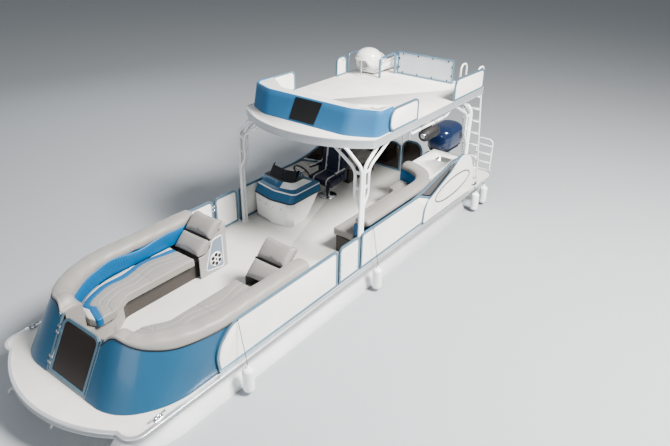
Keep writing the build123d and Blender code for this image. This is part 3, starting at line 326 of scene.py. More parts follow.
def stud_rows(name, places, out, radius, body="root"):
    """Small domed studs that face one way."""
    shape = bmesh.new()
    turn = out.to_track_quat("Z", "Y").to_matrix().to_4x4()
    for place in places:
        bmesh.ops.create_uvsphere(shape, u_segments=10, v_segments=6, radius=radius,
                                  matrix=Matrix.Translation(place) @ turn @ STUD_DOME)
    make_piece(name, shape, black_grip, body, sharp=60)


for node, body, sheet, out, middle in GATES:
    leaf = dress(node, rail_skin, body, edge=0.004)
    paint_faces(leaf, sheet, lambda spot, normal: abs(normal.dot(out)) > 0.99
                and abs((spot - middle).dot(out)) < SHEET_HALF)
    if sheet is white_sheet:
        low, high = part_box(node)
        places = [Vector((middle.x + 0.005 * out.x, y, z))
                  for y in (low.y + 0.085, high.y - 0.060)
                  for z in (low.z + rise for rise in STUD_HEIGHTS)]
        stud_rows(node + "_studs", places, out, 0.006, body)
dress("gate_hinges", stainless)


# Corner posts and stern ladder
# Twin bent aluminium tubes at each corner, tied by rungs and painted white, as are the ladder and its hoops.
post_paint = finish("white_post_paint", (0.84, 0.85, 0.86), 0.26, coat=0.4, grain=500, relief=0.0001)
for post in ("front_posts", "rear_posts", "stern_ladder"):
    dress(post, post_paint)


# Upper deck
# Aluminium rim and beams, satin, under a flat white floor whose front lip is rounded.
dress("upper_floor", finish("upper_floor", (0.72, 0.71, 0.68), 0.6, grain=420, relief=0.0010))
UPPER_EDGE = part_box("upper_frame")[1].z
RIM_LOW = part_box("upper_frame")[0].z + 0.020      # the rim's flat band, between its two lips
RIM_HIGH = UPPER_EDGE - 0.022
DECK_MIDDLE_Y = 2.0
BEAM_HALF, BEAM_FRONT_Y, BEAM_REAR_Y = 1.2, 0.7, 4.09      # the cross beams lie inside these
rim_shape = inset_band("upper_frame", RIM_LOW, RIM_HIGH, -0.004, lambda spot, normal:
                       abs(normal.z) < 0.3 and RIM_LOW < spot.z < RIM_HIGH
                       and normal.dot(Vector((spot.x, spot.y - DECK_MIDDLE_Y, 0))) > 0.05
                       and (abs(spot.x) > BEAM_HALF or not BEAM_FRONT_Y <= spot.y <= BEAM_REAR_Y))
rim = make_piece("upper_rim", rim_shape, trim_skin, sharp=30)
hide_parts("upper_frame")


# Upper front wall, its blank banner and the bench moulding
# One rolled sheet with the same blue film, painted a lighter blue than on the bow walls as painted sky light
# since it leans back toward the sky; a white gelcoat bench flush inside it, and a plain black banner.
# Painted sky light: the same blue film as the bow walls, given a lighter blue because the wall leans back
# toward the sky.
skylit_upper_wrap = finish("upper_blue_wrap_painted_skylight", (0.042, 0.160, 0.315), 0.42, grain=500, relief=0.0001)
WALL_HALF, WALL_AFT_Y, WALL_HALF_THICK, WALL_RISE = 1.184, 1.060, 0.012, 0.360
WALL_FRONT_HALF = 0.780
WALL_LEVELS = ((0.680, 0.468), (0.757, 0.588))    # y of its corners and of its front: at the foot, at the top


def face_out(shape):
    """Turns every face outwards."""
    bmesh.ops.recalc_face_normals(shape, faces=shape.faces)


def skin_rings(rings):
    """Skin over a row of closed rings of points, with both ends filled."""
    shape = bmesh.new()
    previous = None
    first = None
    for ring in rings:
        points = [shape.verts.new(point) for point in ring]
        pairs = list(zip(points, points[1:] + points[:1]))
        edges = [shape.edges.new(pair) for pair in pairs]
        if previous:
            for (a, b), (c, d) in zip(previous, pairs):
                shape.faces.new((a, b, d, c))
        first = first or edges
        previous = pairs
    bmesh.ops.holes_fill(shape, edges=first + edges, sides=0)
    face_out(shape)
    return shape


def arc_path(corners, radii, steps=12):
    """Points and directions along an open line through (x, y) corners, the inner ones rounded by arcs."""
    corners = [Vector(corner) for corner in corners]
    line = [(corners[0], (corners[1] - corners[0]).normalized())]
    for before, here, after, radius in zip(corners, corners[1:], corners[2:], radii):
        into, away = (here - before).normalized(), (after - here).normalized()
        side = into.x * away.y - into.y * away.x
        turn = atan2(side, into.dot(away))
        start = here - into * radius * tan(abs(turn) / 2)
        centre = start + Vector((-into.y, into.x)) * copysign(radius, side)
        for step in range(steps + 1):
            part = Matrix.Rotation(turn * step / steps, 2)
            line.append((centre + part @ (start - centre), part @ into))
    line.append((corners[-1], (corners[-1] - corners[-2]).normalized()))
    return line


wall_lines = []
for corner_y, front_y in WALL_LEVELS:
    corners = ((-WALL_HALF, WALL_AFT_Y), (-WALL_HALF, corner_y), (-WALL_FRONT_HALF, front_y),
               (WALL_FRONT_HALF, front_y), (WALL_HALF, corner_y), (WALL_HALF, WALL_AFT_Y))
    wall_lines.append(arc_path(corners, (0.150, 0.500, 0.500, 0.150)))
wall_rings = []
for (low, low_way), (high, high_way) in zip(*wall_lines):
    ring = []
    for side, shares in ((1, (0, 0.25, 0.5, 0.75, 0.99, 1)), (-1, (1, 0.99, 0.5, 0))):
        for share in shares:
            spot = low.lerp(high, share)
            way = low_way.lerp(high_way, share).normalized()
            out = side * WALL_HALF_THICK * (0.75 if share == 1 else 1)
            ring.append(Vector((spot.x + way.y * out, spot.y - way.x * out, UPPER_EDGE + WALL_RISE * share)))
    wall_rings.append(ring)
upper_wall = make_piece("upper_wall_skin", skin_rings(wall_rings), skylit_upper_wrap, sharp=40)
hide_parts("upper_wall")
gelcoat = finish("white_gelcoat", (0.84, 0.84, 0.83), 0.22, coat=0.6, grain=300, relief=0.0001)
dress("upper_bench", gelcoat, sharp=30)
BANNER = (
    # x at the banner's left and right edge, height
    (-0.199, 0.296, UPPER_EDGE + 0.341),
    (-0.253, 0.215, UPPER_EDGE + 0.025),
)


def draped_sheet(node, bounds, thick, lift=0.003, across=12, down=8):
    """Sheet laid on a node's bow side, between a top and a bottom row of (left x, right x, height)."""
    carrier = node_shape(node)
    tree = bvhtree.BVHTree.FromBMesh(carrier)
    carrier.free()
    shape = bmesh.new()
    rows = []
    for row in range(down + 1):
        left, right_edge, height = (a + (b - a) * row / down for a, b in zip(*bounds))
        line = []
        for column in range(across + 1):
            spot = Vector((left + (right_edge - left) * column / across, -1.0, height))
            hit = tree.ray_cast(spot, Vector((0, 1, 0)))[0]
            line.append(shape.verts.new(hit - Vector((0, lift, 0))))
        rows.append(line)
    for upper, lower in zip(rows, rows[1:]):
        for index in range(across):
            shape.faces.new((upper[index], upper[index + 1], lower[index + 1], lower[index]))
    face_out(shape)
    bmesh.ops.solidify(shape, geom=shape.faces[:], thickness=thick)
    face_out(shape)
    return shape


banner_skin = finish("black_banner", (0.012, 0.012, 0.013), 0.5)
make_piece("blank_banner", draped_sheet("upper_wall", BANNER, -0.002), banner_skin)


# Upper rails and sheets
# Light-blue tube with white sheets along the sides and across the stern, held by dark clips.
# The stern sheet is painted grey-blue: painted shade on its forward face.
dress("upper_rails", rail_skin, edge=0.004)
upper_sheets = dress("upper_panels", white_sheet)
stern_sheet_painted_shade = finish("stern_sheet_painted_shade", (0.52, 0.56, 0.60), 0.35, coat=0.3, grain=500, relief=0.0001)
# Painted shade: the white stern sheet takes a grey-blue colour where its forward face lies in shade.
paint_faces(upper_sheets, stern_sheet_painted_shade, lambda spot, normal: abs(spot.x) < 1.1)
REAR_Y, REAR_START_X, REAR_WIDTH = 3.875, -0.476, 1.176
CLIP_INSET, CLIP_SIZE = 0.040, (0.016, 0.012, 0.034, 1)
clip_places = []
for share in (0.10, 0.37, 0.63, 0.90):
    for z in (UPPER_EDGE + 0.040, UPPER_EDGE + 0.385):
        clip_places.append(Vector((REAR_START_X + REAR_WIDTH * share, REAR_Y, z)))
for z in (UPPER_EDGE + 0.13, UPPER_EDGE + 0.29):
    for across in (CLIP_INSET, REAR_WIDTH - CLIP_INSET):
        clip_places.append(Vector((REAR_START_X + across, REAR_Y, z)))
clip_shape = bmesh.new()
for place in clip_places:
    bmesh.ops.create_cube(clip_shape, size=1.0, matrix=Matrix.Translation(place) @ Matrix.Diagonal(CLIP_SIZE))
make_piece("sheet_clips", clip_shape, black_grip)
UPPER_SHEET_X = 1.218
side_studs = []
for side in (1, -1):
    for start, stop in ((1.02, 1.66), (2.99, 3.95) if side > 0 else (2.99, 3.17)):
        for share in (0.0, 0.5, 1.0):
            side_studs.append(Vector((side * UPPER_SHEET_X, start + (stop - start) * share,
                                      UPPER_EDGE + 0.060)))
stud_rows("upper_studs", side_studs, Vector((1, 0, 0)), 0.005)


# Slide and hood
# White gelcoat flume on struts down to the platform, its upper end under a thin domed hood.
# The hood's foot is rolled outwards into a stiff round brim.
dress("slide", gelcoat, sharp=40)
dress("slide_hood", gelcoat, sharp=40)
HOOD_LOW, HOOD_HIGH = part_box("slide_hood")
BRIM_R, BRIM_DROP, BRIM_TUBE = 0.252, 0.184, 0.011
brim_middle = (HOOD_LOW + HOOD_HIGH) / 2
brim_middle.z = HOOD_HIGH.z - BRIM_DROP
brim_shape = bmesh.new()
bmesh.ops.create_circle(brim_shape, segments=12, radius=BRIM_TUBE, matrix=Matrix.Translation(
    brim_middle + Vector((BRIM_R, 0, 0))) @ Matrix.Rotation(radians(90), 4, "X"))
bmesh.ops.spin(brim_shape, geom=brim_shape.edges[:], cent=brim_middle, axis=(0, 0, 1), angle=2 * pi, steps=72,
               use_merge=True)
face_out(brim_shape)
make_piece("hood_brim", brim_shape, gelcoat, sharp=60)


# Tower speaker
# Black can clamped under a white tube, with a grey grille and a bright cone in its middle.
speaker = dress("tower_speaker", black_grip, sharp=40)
HANGER_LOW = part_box("tower_speaker")[1].z - 0.133
paint_faces(speaker, post_paint, lambda spot, normal: spot.z > HANGER_LOW)
SPEAKER_FACE = Vector((1.168, 2.0595, 2.060))
DISC_DEPTH = 0.012
speaker_grille = finish("speaker_grille", (0.10, 0.10, 0.11), 0.4, metal=0.5, grain=900)
for name, skin, slot, discs in (("speaker_grille", speaker_grille, "black_grip", ((0.078, 0.0),)),
                                ("speaker_cone", stainless, "stainless", ((0.046, -0.006), (0.025, -0.012)))):
    face_shape = bmesh.new()
    for radius, forward in discs:
        bmesh.ops.create_cone(face_shape, cap_ends=True, segments=40, radius1=radius, radius2=radius * 0.86,
                              depth=DISC_DEPTH, matrix=Matrix.Translation(
                                  SPEAKER_FACE - Vector((0, DISC_DEPTH / 2 - forward, 0)))
                              @ Matrix.Rotation(radians(90), 4, "X"))
    make_piece(name, face_shape, skin)


# Bow lounges
# A lounge follows each bow corner: dark riser, long seat cushion and a wide rolled back that laps over the
# blue wall. The soft parts are grey coated fabric over foam, with a blue ribbed band and a blue wave.
VINYL_GREY = (0.275, 0.263, 0.248)
VINYL_BLUE = (0.008, 0.112, 0.265)
VINYL_PALE = (0.52, 0.52, 0.51)
BACK_LOW, BACK_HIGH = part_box("bow_seat_backs")
WALL_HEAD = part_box("side_rails")[0].z + 0.600      # height of the wall's plain top edge
WALL_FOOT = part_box("bow_walls")[0].z
GATE_SIDE_X = 0.392      # where the port wall starts beside the gate
CORNER_X = 0.470
TIGHT_R, EASY_R = 0.560, 1.425
TIGHT_TURN = radians(50)
STRAIGHT_RUN = CORNER_X - GATE_SIDE_X
TIGHT_END = STRAIGHT_RUN + TIGHT_R * TIGHT_TURN
EASY_END = TIGHT_END + EASY_R * (pi / 2 - TIGHT_TURN)
TIGHT_CENTRE = Vector((CORNER_X, BACK_LOW.y + TIGHT_R, 0))
EASY_CENTRE = TIGHT_CENTRE - (EASY_R - TIGHT_R) * Vector((sin(TIGHT_TURN), -cos(TIGHT_TURN), 0))
BACK_END = EASY_END + BACK_HIGH.y - EASY_CENTRE.y


def bow_line(along):
    """Port wall's head at a distance from the gate: point, outward direction, reach of its foot."""
    if along < STRAIGHT_RUN:
        return Vector((GATE_SIDE_X + along, BACK_LOW.y, 0)), Vector((0, -1, 0)), 0.337
    if along < TIGHT_END:
        turn = (along - STRAIGHT_RUN) / TIGHT_R
        out = Vector((sin(turn), -cos(turn), 0))
        return TIGHT_CENTRE + TIGHT_R * out, out, 0.075 * out.x - 0.297 * out.y + 0.040
    if along < EASY_END:
        turn = TIGHT_TURN + (along - TIGHT_END) / EASY_R
        out = Vector((sin(turn), -cos(turn), 0))
        return EASY_CENTRE + EASY_R * out, out, 0.4465 * out.x - 0.6087 * out.y - 0.445
    return EASY_CENTRE + Vector((EASY_R, along - EASY_END, 0)), Vector((1, 0, 0)), 0.0015


def bow_place(point):
    """A point's distance from the gate along the wall's head, and its distance inside the head."""
    x, y = abs(point.x), point.y
    if y > EASY_CENTRE.y:
        return EASY_END + y - EASY_CENTRE.y, EASY_CENTRE.x + EASY_R - x
    easy = Vector((x, y, 0)) - EASY_CENTRE
    turn = atan2(easy.x, -easy.y)
    if turn > TIGHT_TURN:
        return TIGHT_END + (turn - TIGHT_TURN) * EASY_R, EASY_R - easy.length
    tight = Vector((x, y, 0)) - TIGHT_CENTRE
    turn = atan2(tight.x, -tight.y)
    if turn > 0:
        return STRAIGHT_RUN + turn * TIGHT_R, TIGHT_R - tight.length
    return x - GATE_SIDE_X, y - BACK_LOW.y


def ease(value, low, high):
    """0 below low, 1 above high, and a smooth step between."""
    part = min(1, max(0, (value - low) / (high - low)))
    return part * part * (3 - 2 * part)


def between(value, table):
    """Height read from a short table of (distance, height)."""
    for (start, low), (stop, high) in zip(table, table[1:]):
        if value <= stop:
            return low + (high - low) * (value - start) / (stop - start)
    return table[-1][1]


# The wall's top edge as (distance from the centreline, height): a hump by the gate, a dip, then the side rail
WALL_EDGE = ((GATE_SIDE_X, 1.052), (0.430, 1.092), (0.470, 1.135), (0.500, 1.156), (0.540, 1.170),
             (0.580, 1.175), (0.630, 1.167), (0.700, 1.151), (0.980, 1.075), (1.030, 1.064),
             (1.080, 1.060), (1.140, 1.065), (1.232, 1.079), (1.300, 1.083))
SEAMS = (0.335, 0.430, 0.560, 0.660)     # sewn channels along the seat: distance inside the wall's head
PALE_WIDTH = 0.055


def wave(along):
    """Slow wave that the coloured bands follow."""
    return 0.024 * sin(along * 5.2 + 0.6) + 0.010 * sin(along * 9.0)


def vinyl_material(name, banded):
    """Coated fabric with a fine grain, whose bands follow how far a place lies across the seat."""
    skin = finish(name, VINYL_GREY, 0.46, grain=900, relief=0.0007, shade=0.05)
    nodes = skin.node_tree.nodes
    links = skin.node_tree.links
    shader = nodes["Principled BSDF"]
    shader.inputs["Sheen Weight"].default_value = 0.15
    if not banded:
        return skin
    grey = shader.inputs["Base Color"].links[0].from_socket
    where = add_node(nodes, "Attribute")
    where.attribute_name = "across"
    for start, stop, colour in ((SEAMS[0] - PALE_WIDTH, SEAMS[0], VINYL_PALE), (*SEAMS[:2], VINYL_BLUE)):
        band = add_node(nodes, "Math")
        band.operation = "COMPARE"
        band.inputs[1].default_value = (start + stop) / 2
        band.inputs[2].default_value = (stop - start) / 2
        links.new(where.outputs["Fac"], band.inputs[0])
        layer = add_node(nodes, "Mix")
        layer.data_type = "RGBA"
        layer.inputs["B"].default_value = (*colour, 1)
        links.new(band.outputs["Value"], layer.inputs["Factor"])
        links.new(grey, layer.inputs["A"])
        grey = layer.outputs["Result"]
    links.new(grey, shader.inputs["Base Color"])
    return skin


grey_vinyl = vinyl_material("grey_vinyl", False)
banded_vinyl = vinyl_material("banded_vinyl", True)
blue_vinyl = finish("blue_vinyl", VINYL_BLUE, 0.42, grain=900, relief=0.0006)
piping_vinyl = finish("black_piping", (0.012, 0.012, 0.014), 0.4, grain=900, relief=0.0003)
dark_base = finish("riser_moulding", (0.060, 0.054, 0.050), 0.55, grain=300)


def both_sides(shape):
    """A port shape and its copy on the other side, each with its side's name."""
    other = shape.copy()
    bmesh.ops.scale(other, vec=(-1, 1, 1), verts=other.verts)
    bmesh.ops.reverse_faces(other, faces=other.faces)
    return ("port", shape), ("starboard", other)


def cord_mesh(points, radius, closed=False):
    """Round tube along a smooth line of points, as a bmesh."""
    line = bpy.data.curves.new("line", "CURVE")
    line.dimensions = "3D"
    line.bevel_depth = radius
    line.bevel_resolution = 4
    line.use_fill_caps = True
    run = line.splines.new("POLY")
    run.points.add(len(points) - 1)
    for knot, point in zip(run.points, points):
        knot.co = (*point, 1)
    run.use_cyclic_u = closed
    holder = bpy.data.objects.new("line", line)
    mesh = bpy.data.meshes.new_from_object(holder)
    shape = bmesh.new()
    shape.from_mesh(mesh)
    bpy.data.objects.remove(holder)
    bpy.data.curves.remove(line)
    bpy.data.meshes.remove(mesh)
    return shape


def round_off(made):
    """Live subdivision that rounds a coarse skin."""
    rounding = made.modifiers.new("rounding", "SUBSURF")
    rounding.levels = rounding.render_levels = 1


def upholster(name, shape, skin, node=None, body="root", sharp=80):
    """Padded piece in coated fabric, which stands in for a node where one is named."""
    made = make_piece(name, shape, skin, body, sharp)
    if node:
        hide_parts(node)
    return made


def roll_width(along):
    """Depth of the rolled back, which narrows toward the gate."""
    return ROLL_WIDTH - 0.03 * (1 - ease(along, 0.0, 0.35))


def ring_inside(point, out, profile, middle=(0, 0), squeeze=1):
    """Ring of a profile's (distance inside a line, height), drawn in toward a middle."""
    ring = []
    for spot in profile:
        inset, height = (start + (value - start) * squeeze for value, start in zip(spot, middle))
        ring.append(point - out * inset + Vector((0, 0, height)))
    return ring


# Roll of the back: each profile point is a distance inside the wall's head and a height
ROLL_TOP = BACK_HIGH.z + 0.004
ROLL_WIDTH = 0.262
ROLL_MIDDLE, ROLL_DROP = 0.125, 0.075     # middle of its section: distance inside, depth under the top
roll_rings = []
lap_line = []
STEPS = 150
for step in range(STEPS + 1):
    along = BACK_END * step / STEPS
    point, out, lean = bow_line(along)
    lap = between(point.x, WALL_EDGE)
    top = max(lap + 0.024, ROLL_TOP - 0.062 * (1 - ease(along, 0.0, 0.30)) + 0.004 * sin(along * 21))
    width = roll_width(along)
    outside = (lap - WALL_HEAD) * lean / (WALL_HEAD - WALL_FOOT)
    end_round = min(1, min(along + 0.015, BACK_END - along + 0.001) / 0.05)
    squeeze = 1 - (1 - end_round) ** 2 * 0.55
    profile = (
        (outside - 0.008, lap - 0.030), (outside - 0.012, lap), (outside + 0.004, (lap + top) / 2 + 0.006),
        (outside + 0.030, top - 0.010), (0.085, top), (0.140, top + 0.003), (0.190, top - 0.006),
        (0.232, top - 0.030), (width - 0.004, top - 0.068), (width + 0.002, top - 0.108),
        (width - 0.012, top - 0.150), (width - 0.050, top - 0.165), (0.120, top - 0.160),
        (0.060, top - 0.105), (0.036, lap + 0.002), (outside + 0.001, lap + 0.001),
        (outside - 0.001, lap - 0.028),
    )
    roll_rings.append(ring_inside(point, out, profile, (ROLL_MIDDLE, top - ROLL_DROP), squeeze))
    lap_line.append(point - out * (outside - 0.013) + Vector((0, 0, lap - 0.026)))
for side, shape in both_sides(skin_rings(roll_rings)):
    round_off(upholster(side + "_back_roll", shape, grey_vinyl, "bow_seat_backs", sharp=70))
for side, shape in both_sides(cord_mesh(lap_line, 0.007)):
    make_piece(side + "_lap_piping", shape, piping_vinyl, sharp=70)


# Foam block under the roll's end beside the gate
def carve(node, cuts):
    """A node's shape without what lies beyond each cut, and the cuts closed."""
    shape = node_shape(node)
    for place, way in cuts:
        slice_shape(shape, place, way, drop=True)
    bmesh.ops.holes_fill(shape, edges=shape.edges, sides=0)
    face_out(shape)
    return shape


GATE_END_Y = -2.62
end_shape = carve("bow_seat_backs", (((0, 0, 1.075), (0, 0, 1)), ((0, GATE_END_Y, 0), (0, 1, 0))))
make_piece("gate_end_blocks", end_shape, grey_vinyl, sharp=50)

# Ribbed band between the roll and the seat
BAND_STEPS = 420
BAND_HEAD, BAND_FOOT, BAND_BACK = 1.052, 0.842, 0.190
RIB_DEPTH, RIB_PITCH = 0.006, 0.042
BAND_ROWS = (
    # share of the way down, how far it bellies out, ribbed or not
    (0, -0.020, 0), (0.02, 0.001, 0), (0.10, 0.007, 1), (0.4, 0.011, 1), (0.75, 0.013, 1), (1, 0.013, 0),
)
band_rings = []
for step in range(BAND_STEPS + 1):
    along = 0.03 + (BACK_END - 0.15) * step / BAND_STEPS
    point, out, lean = bow_line(along)
    rib = RIB_DEPTH * abs(sin(pi * along / RIB_PITCH))
    face = roll_width(along)
    head = BAND_HEAD + wave(along)
    profile = [(face + belly + rib * ribbed, head + (BAND_FOOT - head) * share)
               for share, belly, ribbed in BAND_ROWS]
    profile += [(BAND_BACK, BAND_FOOT), (BAND_BACK, head - 0.050)]
    band_rings.append(ring_inside(point, out, profile))
for side, shape in both_sides(skin_rings(band_rings)):
    upholster(side + "_ribbed_band", shape, blue_vinyl, sharp=70)


# Foam parts: remeshed, blown up a little as cloth under pressure, and smoothed
def foam(shape, voxel, cap, pressure=4.0):
    """Plump copy of a closed bmesh: no point moves more than cap, and none below the flat underside."""
    mesh = bpy.data.meshes.new("foam")
    shape.to_mesh(mesh)
    shape.free()
    block = bpy.data.objects.new("foam", mesh)
    bpy.context.scene.collection.objects.link(block)
    remesh = block.modifiers.new("remesh", "REMESH")
    remesh.mode = "VOXEL"
    remesh.voxel_size = voxel
    relax = block.modifiers.new("relax", "SMOOTH")
    relax.factor = 0.5
    relax.iterations = 5
    bpy.context.view_layer.update()
    rounded = bpy.data.meshes.new_from_object(block.evaluated_get(bpy.context.evaluated_depsgraph_get()))
    block.modifiers.clear()
    block.data = rounded
    cloth = block.modifiers.new("cloth", "CLOTH")
    cloth.settings.use_pressure = True
    cloth.settings.uniform_pressure_force = pressure
    cloth.settings.effector_weights.gravity = 0
    cloth.point_cache.frame_start = 1
    cloth.point_cache.frame_end = 20
    for number in range(1, 21):
        bpy.context.scene.frame_set(number)
    blown = block.evaluated_get(bpy.context.evaluated_depsgraph_get())
    moved = [vert.co.copy() for vert in blown.data.vertices]
    block.modifiers.clear()
    bpy.context.scene.frame_set(1)
    underside = min(vert.co.z for vert in rounded.vertices)
    for vert, goal in zip(rounded.vertices, moved):
        step = goal - vert.co
        if step.length > cap:
            step *= cap / step.length
        vert.co += step
        vert.co.z = max(vert.co.z, underside)
    plump = bmesh.new()
    plump.from_mesh(rounded)
    bpy.data.objects.remove(block)
    return plump


def groove(distance, width, depth):
    """Depth of a sewn channel at a distance from its seam."""
    return depth * max(0, 1 - abs(distance) / width) ** 2


# Long seat cushion: a blue wave between two grey fields, with sewn channels that follow it
seat_shape = node_shape("bow_seat_cushions")
SEAT_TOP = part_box("bow_seat_cushions")[1].z
CROSS_SEAMS = (0.62, 1.72)     # distance from the gate
slice_shape(seat_shape, (0, 0, 0), (-1, 0, 0), drop=True)
bmesh.ops.scale(seat_shape, vec=(0.994, 0.998, 1), verts=seat_shape.verts)
seat = foam(seat_shape, 0.014, 0.014)
bmesh.ops.subdivide_edges(seat, edges=seat.edges, cuts=1, use_grid_fill=True)
bmesh.ops.smooth_vert(seat, verts=seat.verts, factor=0.5, use_axis_x=True, use_axis_y=True, use_axis_z=True)
across = seat.verts.layers.float.new("across")
for vert in seat.verts:
    along, inset = bow_place(vert.co)
    here = inset - wave(along) * 1.6
    vert[across] = here
    if vert.co.z > SEAT_TOP - 0.045:
        vert.co.z -= sum(groove(here - seam, 0.022, 0.010) for seam in SEAMS)
        vert.co.z -= sum(groove(along - seam, 0.020, 0.009) for seam in CROSS_SEAMS)
for side, shape in both_sides(seat):
    upholster(side + "_long_seat", shape, banded_vinyl, "bow_seat_cushions")

# Risers: dark moulding under the seat's edge, and grey vinyl round both ends
RISER_AFT_Y = -0.9
riser = make_piece("bow_risers", node_shape("bow_lounge_bases"), dark_base)
paint_faces(riser, grey_vinyl, lambda spot, normal: not GATE_END_Y <= spot.y <= RISER_AFT_Y)
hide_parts("bow_lounge_bases")


# Chaise backs
# A headrest pad over a lower pad, both foam in grey vinyl, lean at the aft end of each lounge.
# Each moulded side frame has a white-rimmed panel with a round grille.
PAD_FOOT = Vector((0, -1.366, 0.820))
PAD_SLOPE = Vector((0, 0.780, 0.626))
PAD_OUT = Vector((0, -0.626, 0.780))
PAD_SPLIT = 0.310
SIDES = (("port", 1, 0.075), ("starboard", -1, 0.0))     # side, its sign, how far aft it stands
PAD_MIDDLE_X, PAD_HALF, PAD_REACH = 0.6835, 0.278, 0.160
PAD_CROWN, PAD_HOLLOW = 0.030, -0.016
PADS = (("lower_pad", -1, 0.012, 0.155), ("headrest", 1, 0.020, 0.475))     # side of the seam, cap, middle
for side, sign, shift in SIDES:
    seam_spot = PAD_FOOT + Vector((0, shift, 0)) + PAD_SLOPE * PAD_SPLIT
    for name, way, cap, middle in PADS:
        pad_shape = carve("chaise_pads", (((0, 0, 0), (-sign, 0, 0)), (seam_spot, -PAD_SLOPE * way)))
        bmesh.ops.dissolve_limit(pad_shape, angle_limit=radians(1), verts=pad_shape.verts,
                                 edges=pad_shape.edges)
        bmesh.ops.bevel(pad_shape, geom=pad_shape.edges[:], offset=0.026, segments=3, profile=0.5,
                        affect="EDGES", material=-1)
        pad = foam(pad_shape, 0.012, cap)
        for vert in pad.verts:
            from_foot = vert.co - PAD_FOOT - Vector((0, shift, 0))
            crown = max(0, 1 - ((abs(vert.co.x) - PAD_MIDDLE_X) / PAD_HALF) ** 4)
            crown *= max(0, 1 - ((from_foot.dot(PAD_SLOPE) - middle) / PAD_REACH) ** 2)
            vert.co += PAD_OUT * crown * (PAD_CROWN if from_foot.dot(PAD_OUT) > -0.05 else PAD_HOLLOW)
        upholster(side + "_chaise_" + name, pad, grey_vinyl, "chaise_pads")
    welt = [Vector((sign * x, seam_spot.y, seam_spot.z)) for x in (0.420, 0.955)]
    make_piece(side + "_chaise_welt", cord_mesh(welt, 0.016), piping_vinyl, sharp=70)
frame_skin = finish("moulded_frame", (0.33, 0.325, 0.315), 0.5, grain=400)
panel_skin = finish("panel_fabric", (0.20, 0.25, 0.31), 0.6, grain=600)
dress("chaise_frames", frame_skin, edge=0.010)
PANEL = [(-1.092, 1.000), (-0.904, 1.014), (-0.900, 0.490), (-1.247, 0.549)]
GRILLE_Y, GRILLE_Z, GRILLE_R = -1.048, 0.672, 0.118
FRAME_X = 0.4065         # the frames' faces toward the aisle


def round_loop(corners, reach):
    """Closed line through corners given as (y, z), each corner rounded off."""
    line = []
    for before, corner, after in zip(corners[-1:] + corners[:-1], corners, corners[1:] + corners[:1]):
        here = Vector(corner)
        start = here + (Vector(before) - here).normalized() * reach
        stop = here + (Vector(after) - here).normalized() * reach
        for step in range(7):
            share = step / 6
            line.append(start * (1 - share) ** 2 + here * 2 * share * (1 - share) + stop * share ** 2)
    return line


for side, sign, shift in SIDES:
    face_x = sign * FRAME_X
    loop = [Vector((face_x, spot.x + shift, spot.y)) for spot in round_loop(PANEL, 0.045)]
    panel_shape = bmesh.new()
    panel_shape.faces.new([panel_shape.verts.new(point) for point in loop])
    face_out(panel_shape)
    grown = bmesh.ops.extrude_face_region(panel_shape, geom=panel_shape.faces[:])
    raised = [vert for vert in grown["geom"] if isinstance(vert, bmesh.types.BMVert)]
    bmesh.ops.translate(panel_shape, vec=(-sign * 0.004, 0, 0), verts=raised)
    face_out(panel_shape)
    make_piece(side + "_chaise_panel", panel_shape, panel_skin)
    make_piece(side + "_panel_rim", cord_mesh(loop, 0.009, closed=True), gelcoat, sharp=70)
    grille = bmesh.new()
    at_grille = Matrix.Translation((face_x - sign * 0.009, GRILLE_Y + shift, GRILLE_Z)) @ Matrix.Rotation(
        radians(-90 * sign), 4, "Y")
    bmesh.ops.create_cone(grille, cap_ends=True, segments=48, radius1=GRILLE_R, radius2=GRILLE_R * 0.93,
                          depth=0.014, matrix=at_grille)
    make_piece(side + "_chaise_grille", grille, gelcoat)
    holes = bmesh.new()
    for radius, place, count in ((0.030, 0.073, 6), (0.018, 0.0, 1)):
        for step in range(count):
            turn = radians(60 * step)
            hole = Vector((place * cos(turn), place * sin(turn), 0.007))
            bmesh.ops.create_cone(holes, cap_ends=True, segments=20, radius1=radius, radius2=radius,
                                  depth=0.004, matrix=at_grille @ Matrix.Translation(hole))
    make_piece(side + "_grille_holes", holes, piping_vinyl)


# Aft lounge
# Runs down the port side and turns inboard at the stern: dark riser, foam seat and a wide flat-topped roll.
AFT_OUT, AFT_TURN_X, AFT_TURN_Y, AFT_START_Y = 1.150, 0.410, 2.200, 0.520
aft_run = AFT_TURN_Y - AFT_START_Y
aft_turn_r = AFT_OUT - AFT_TURN_X
AFT_LENGTH = aft_run + aft_turn_r * pi / 2
aft_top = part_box("aft_seat_back")[1].z
AFT_MIDDLE, AFT_DROP = 0.073, 0.065       # middle of the roll's section


def aft_line(along):
    """Point on the lounge's outside at a distance from its forward end, and the outward direction."""
    if along < aft_run:
        return Vector((AFT_OUT, AFT_START_Y + along, 0)), Vector((1, 0, 0))
    turn = (along - aft_run) / aft_turn_r
    out = Vector((cos(turn), sin(turn), 0))
    return Vector((AFT_TURN_X, AFT_TURN_Y, 0)) + out * aft_turn_r, out


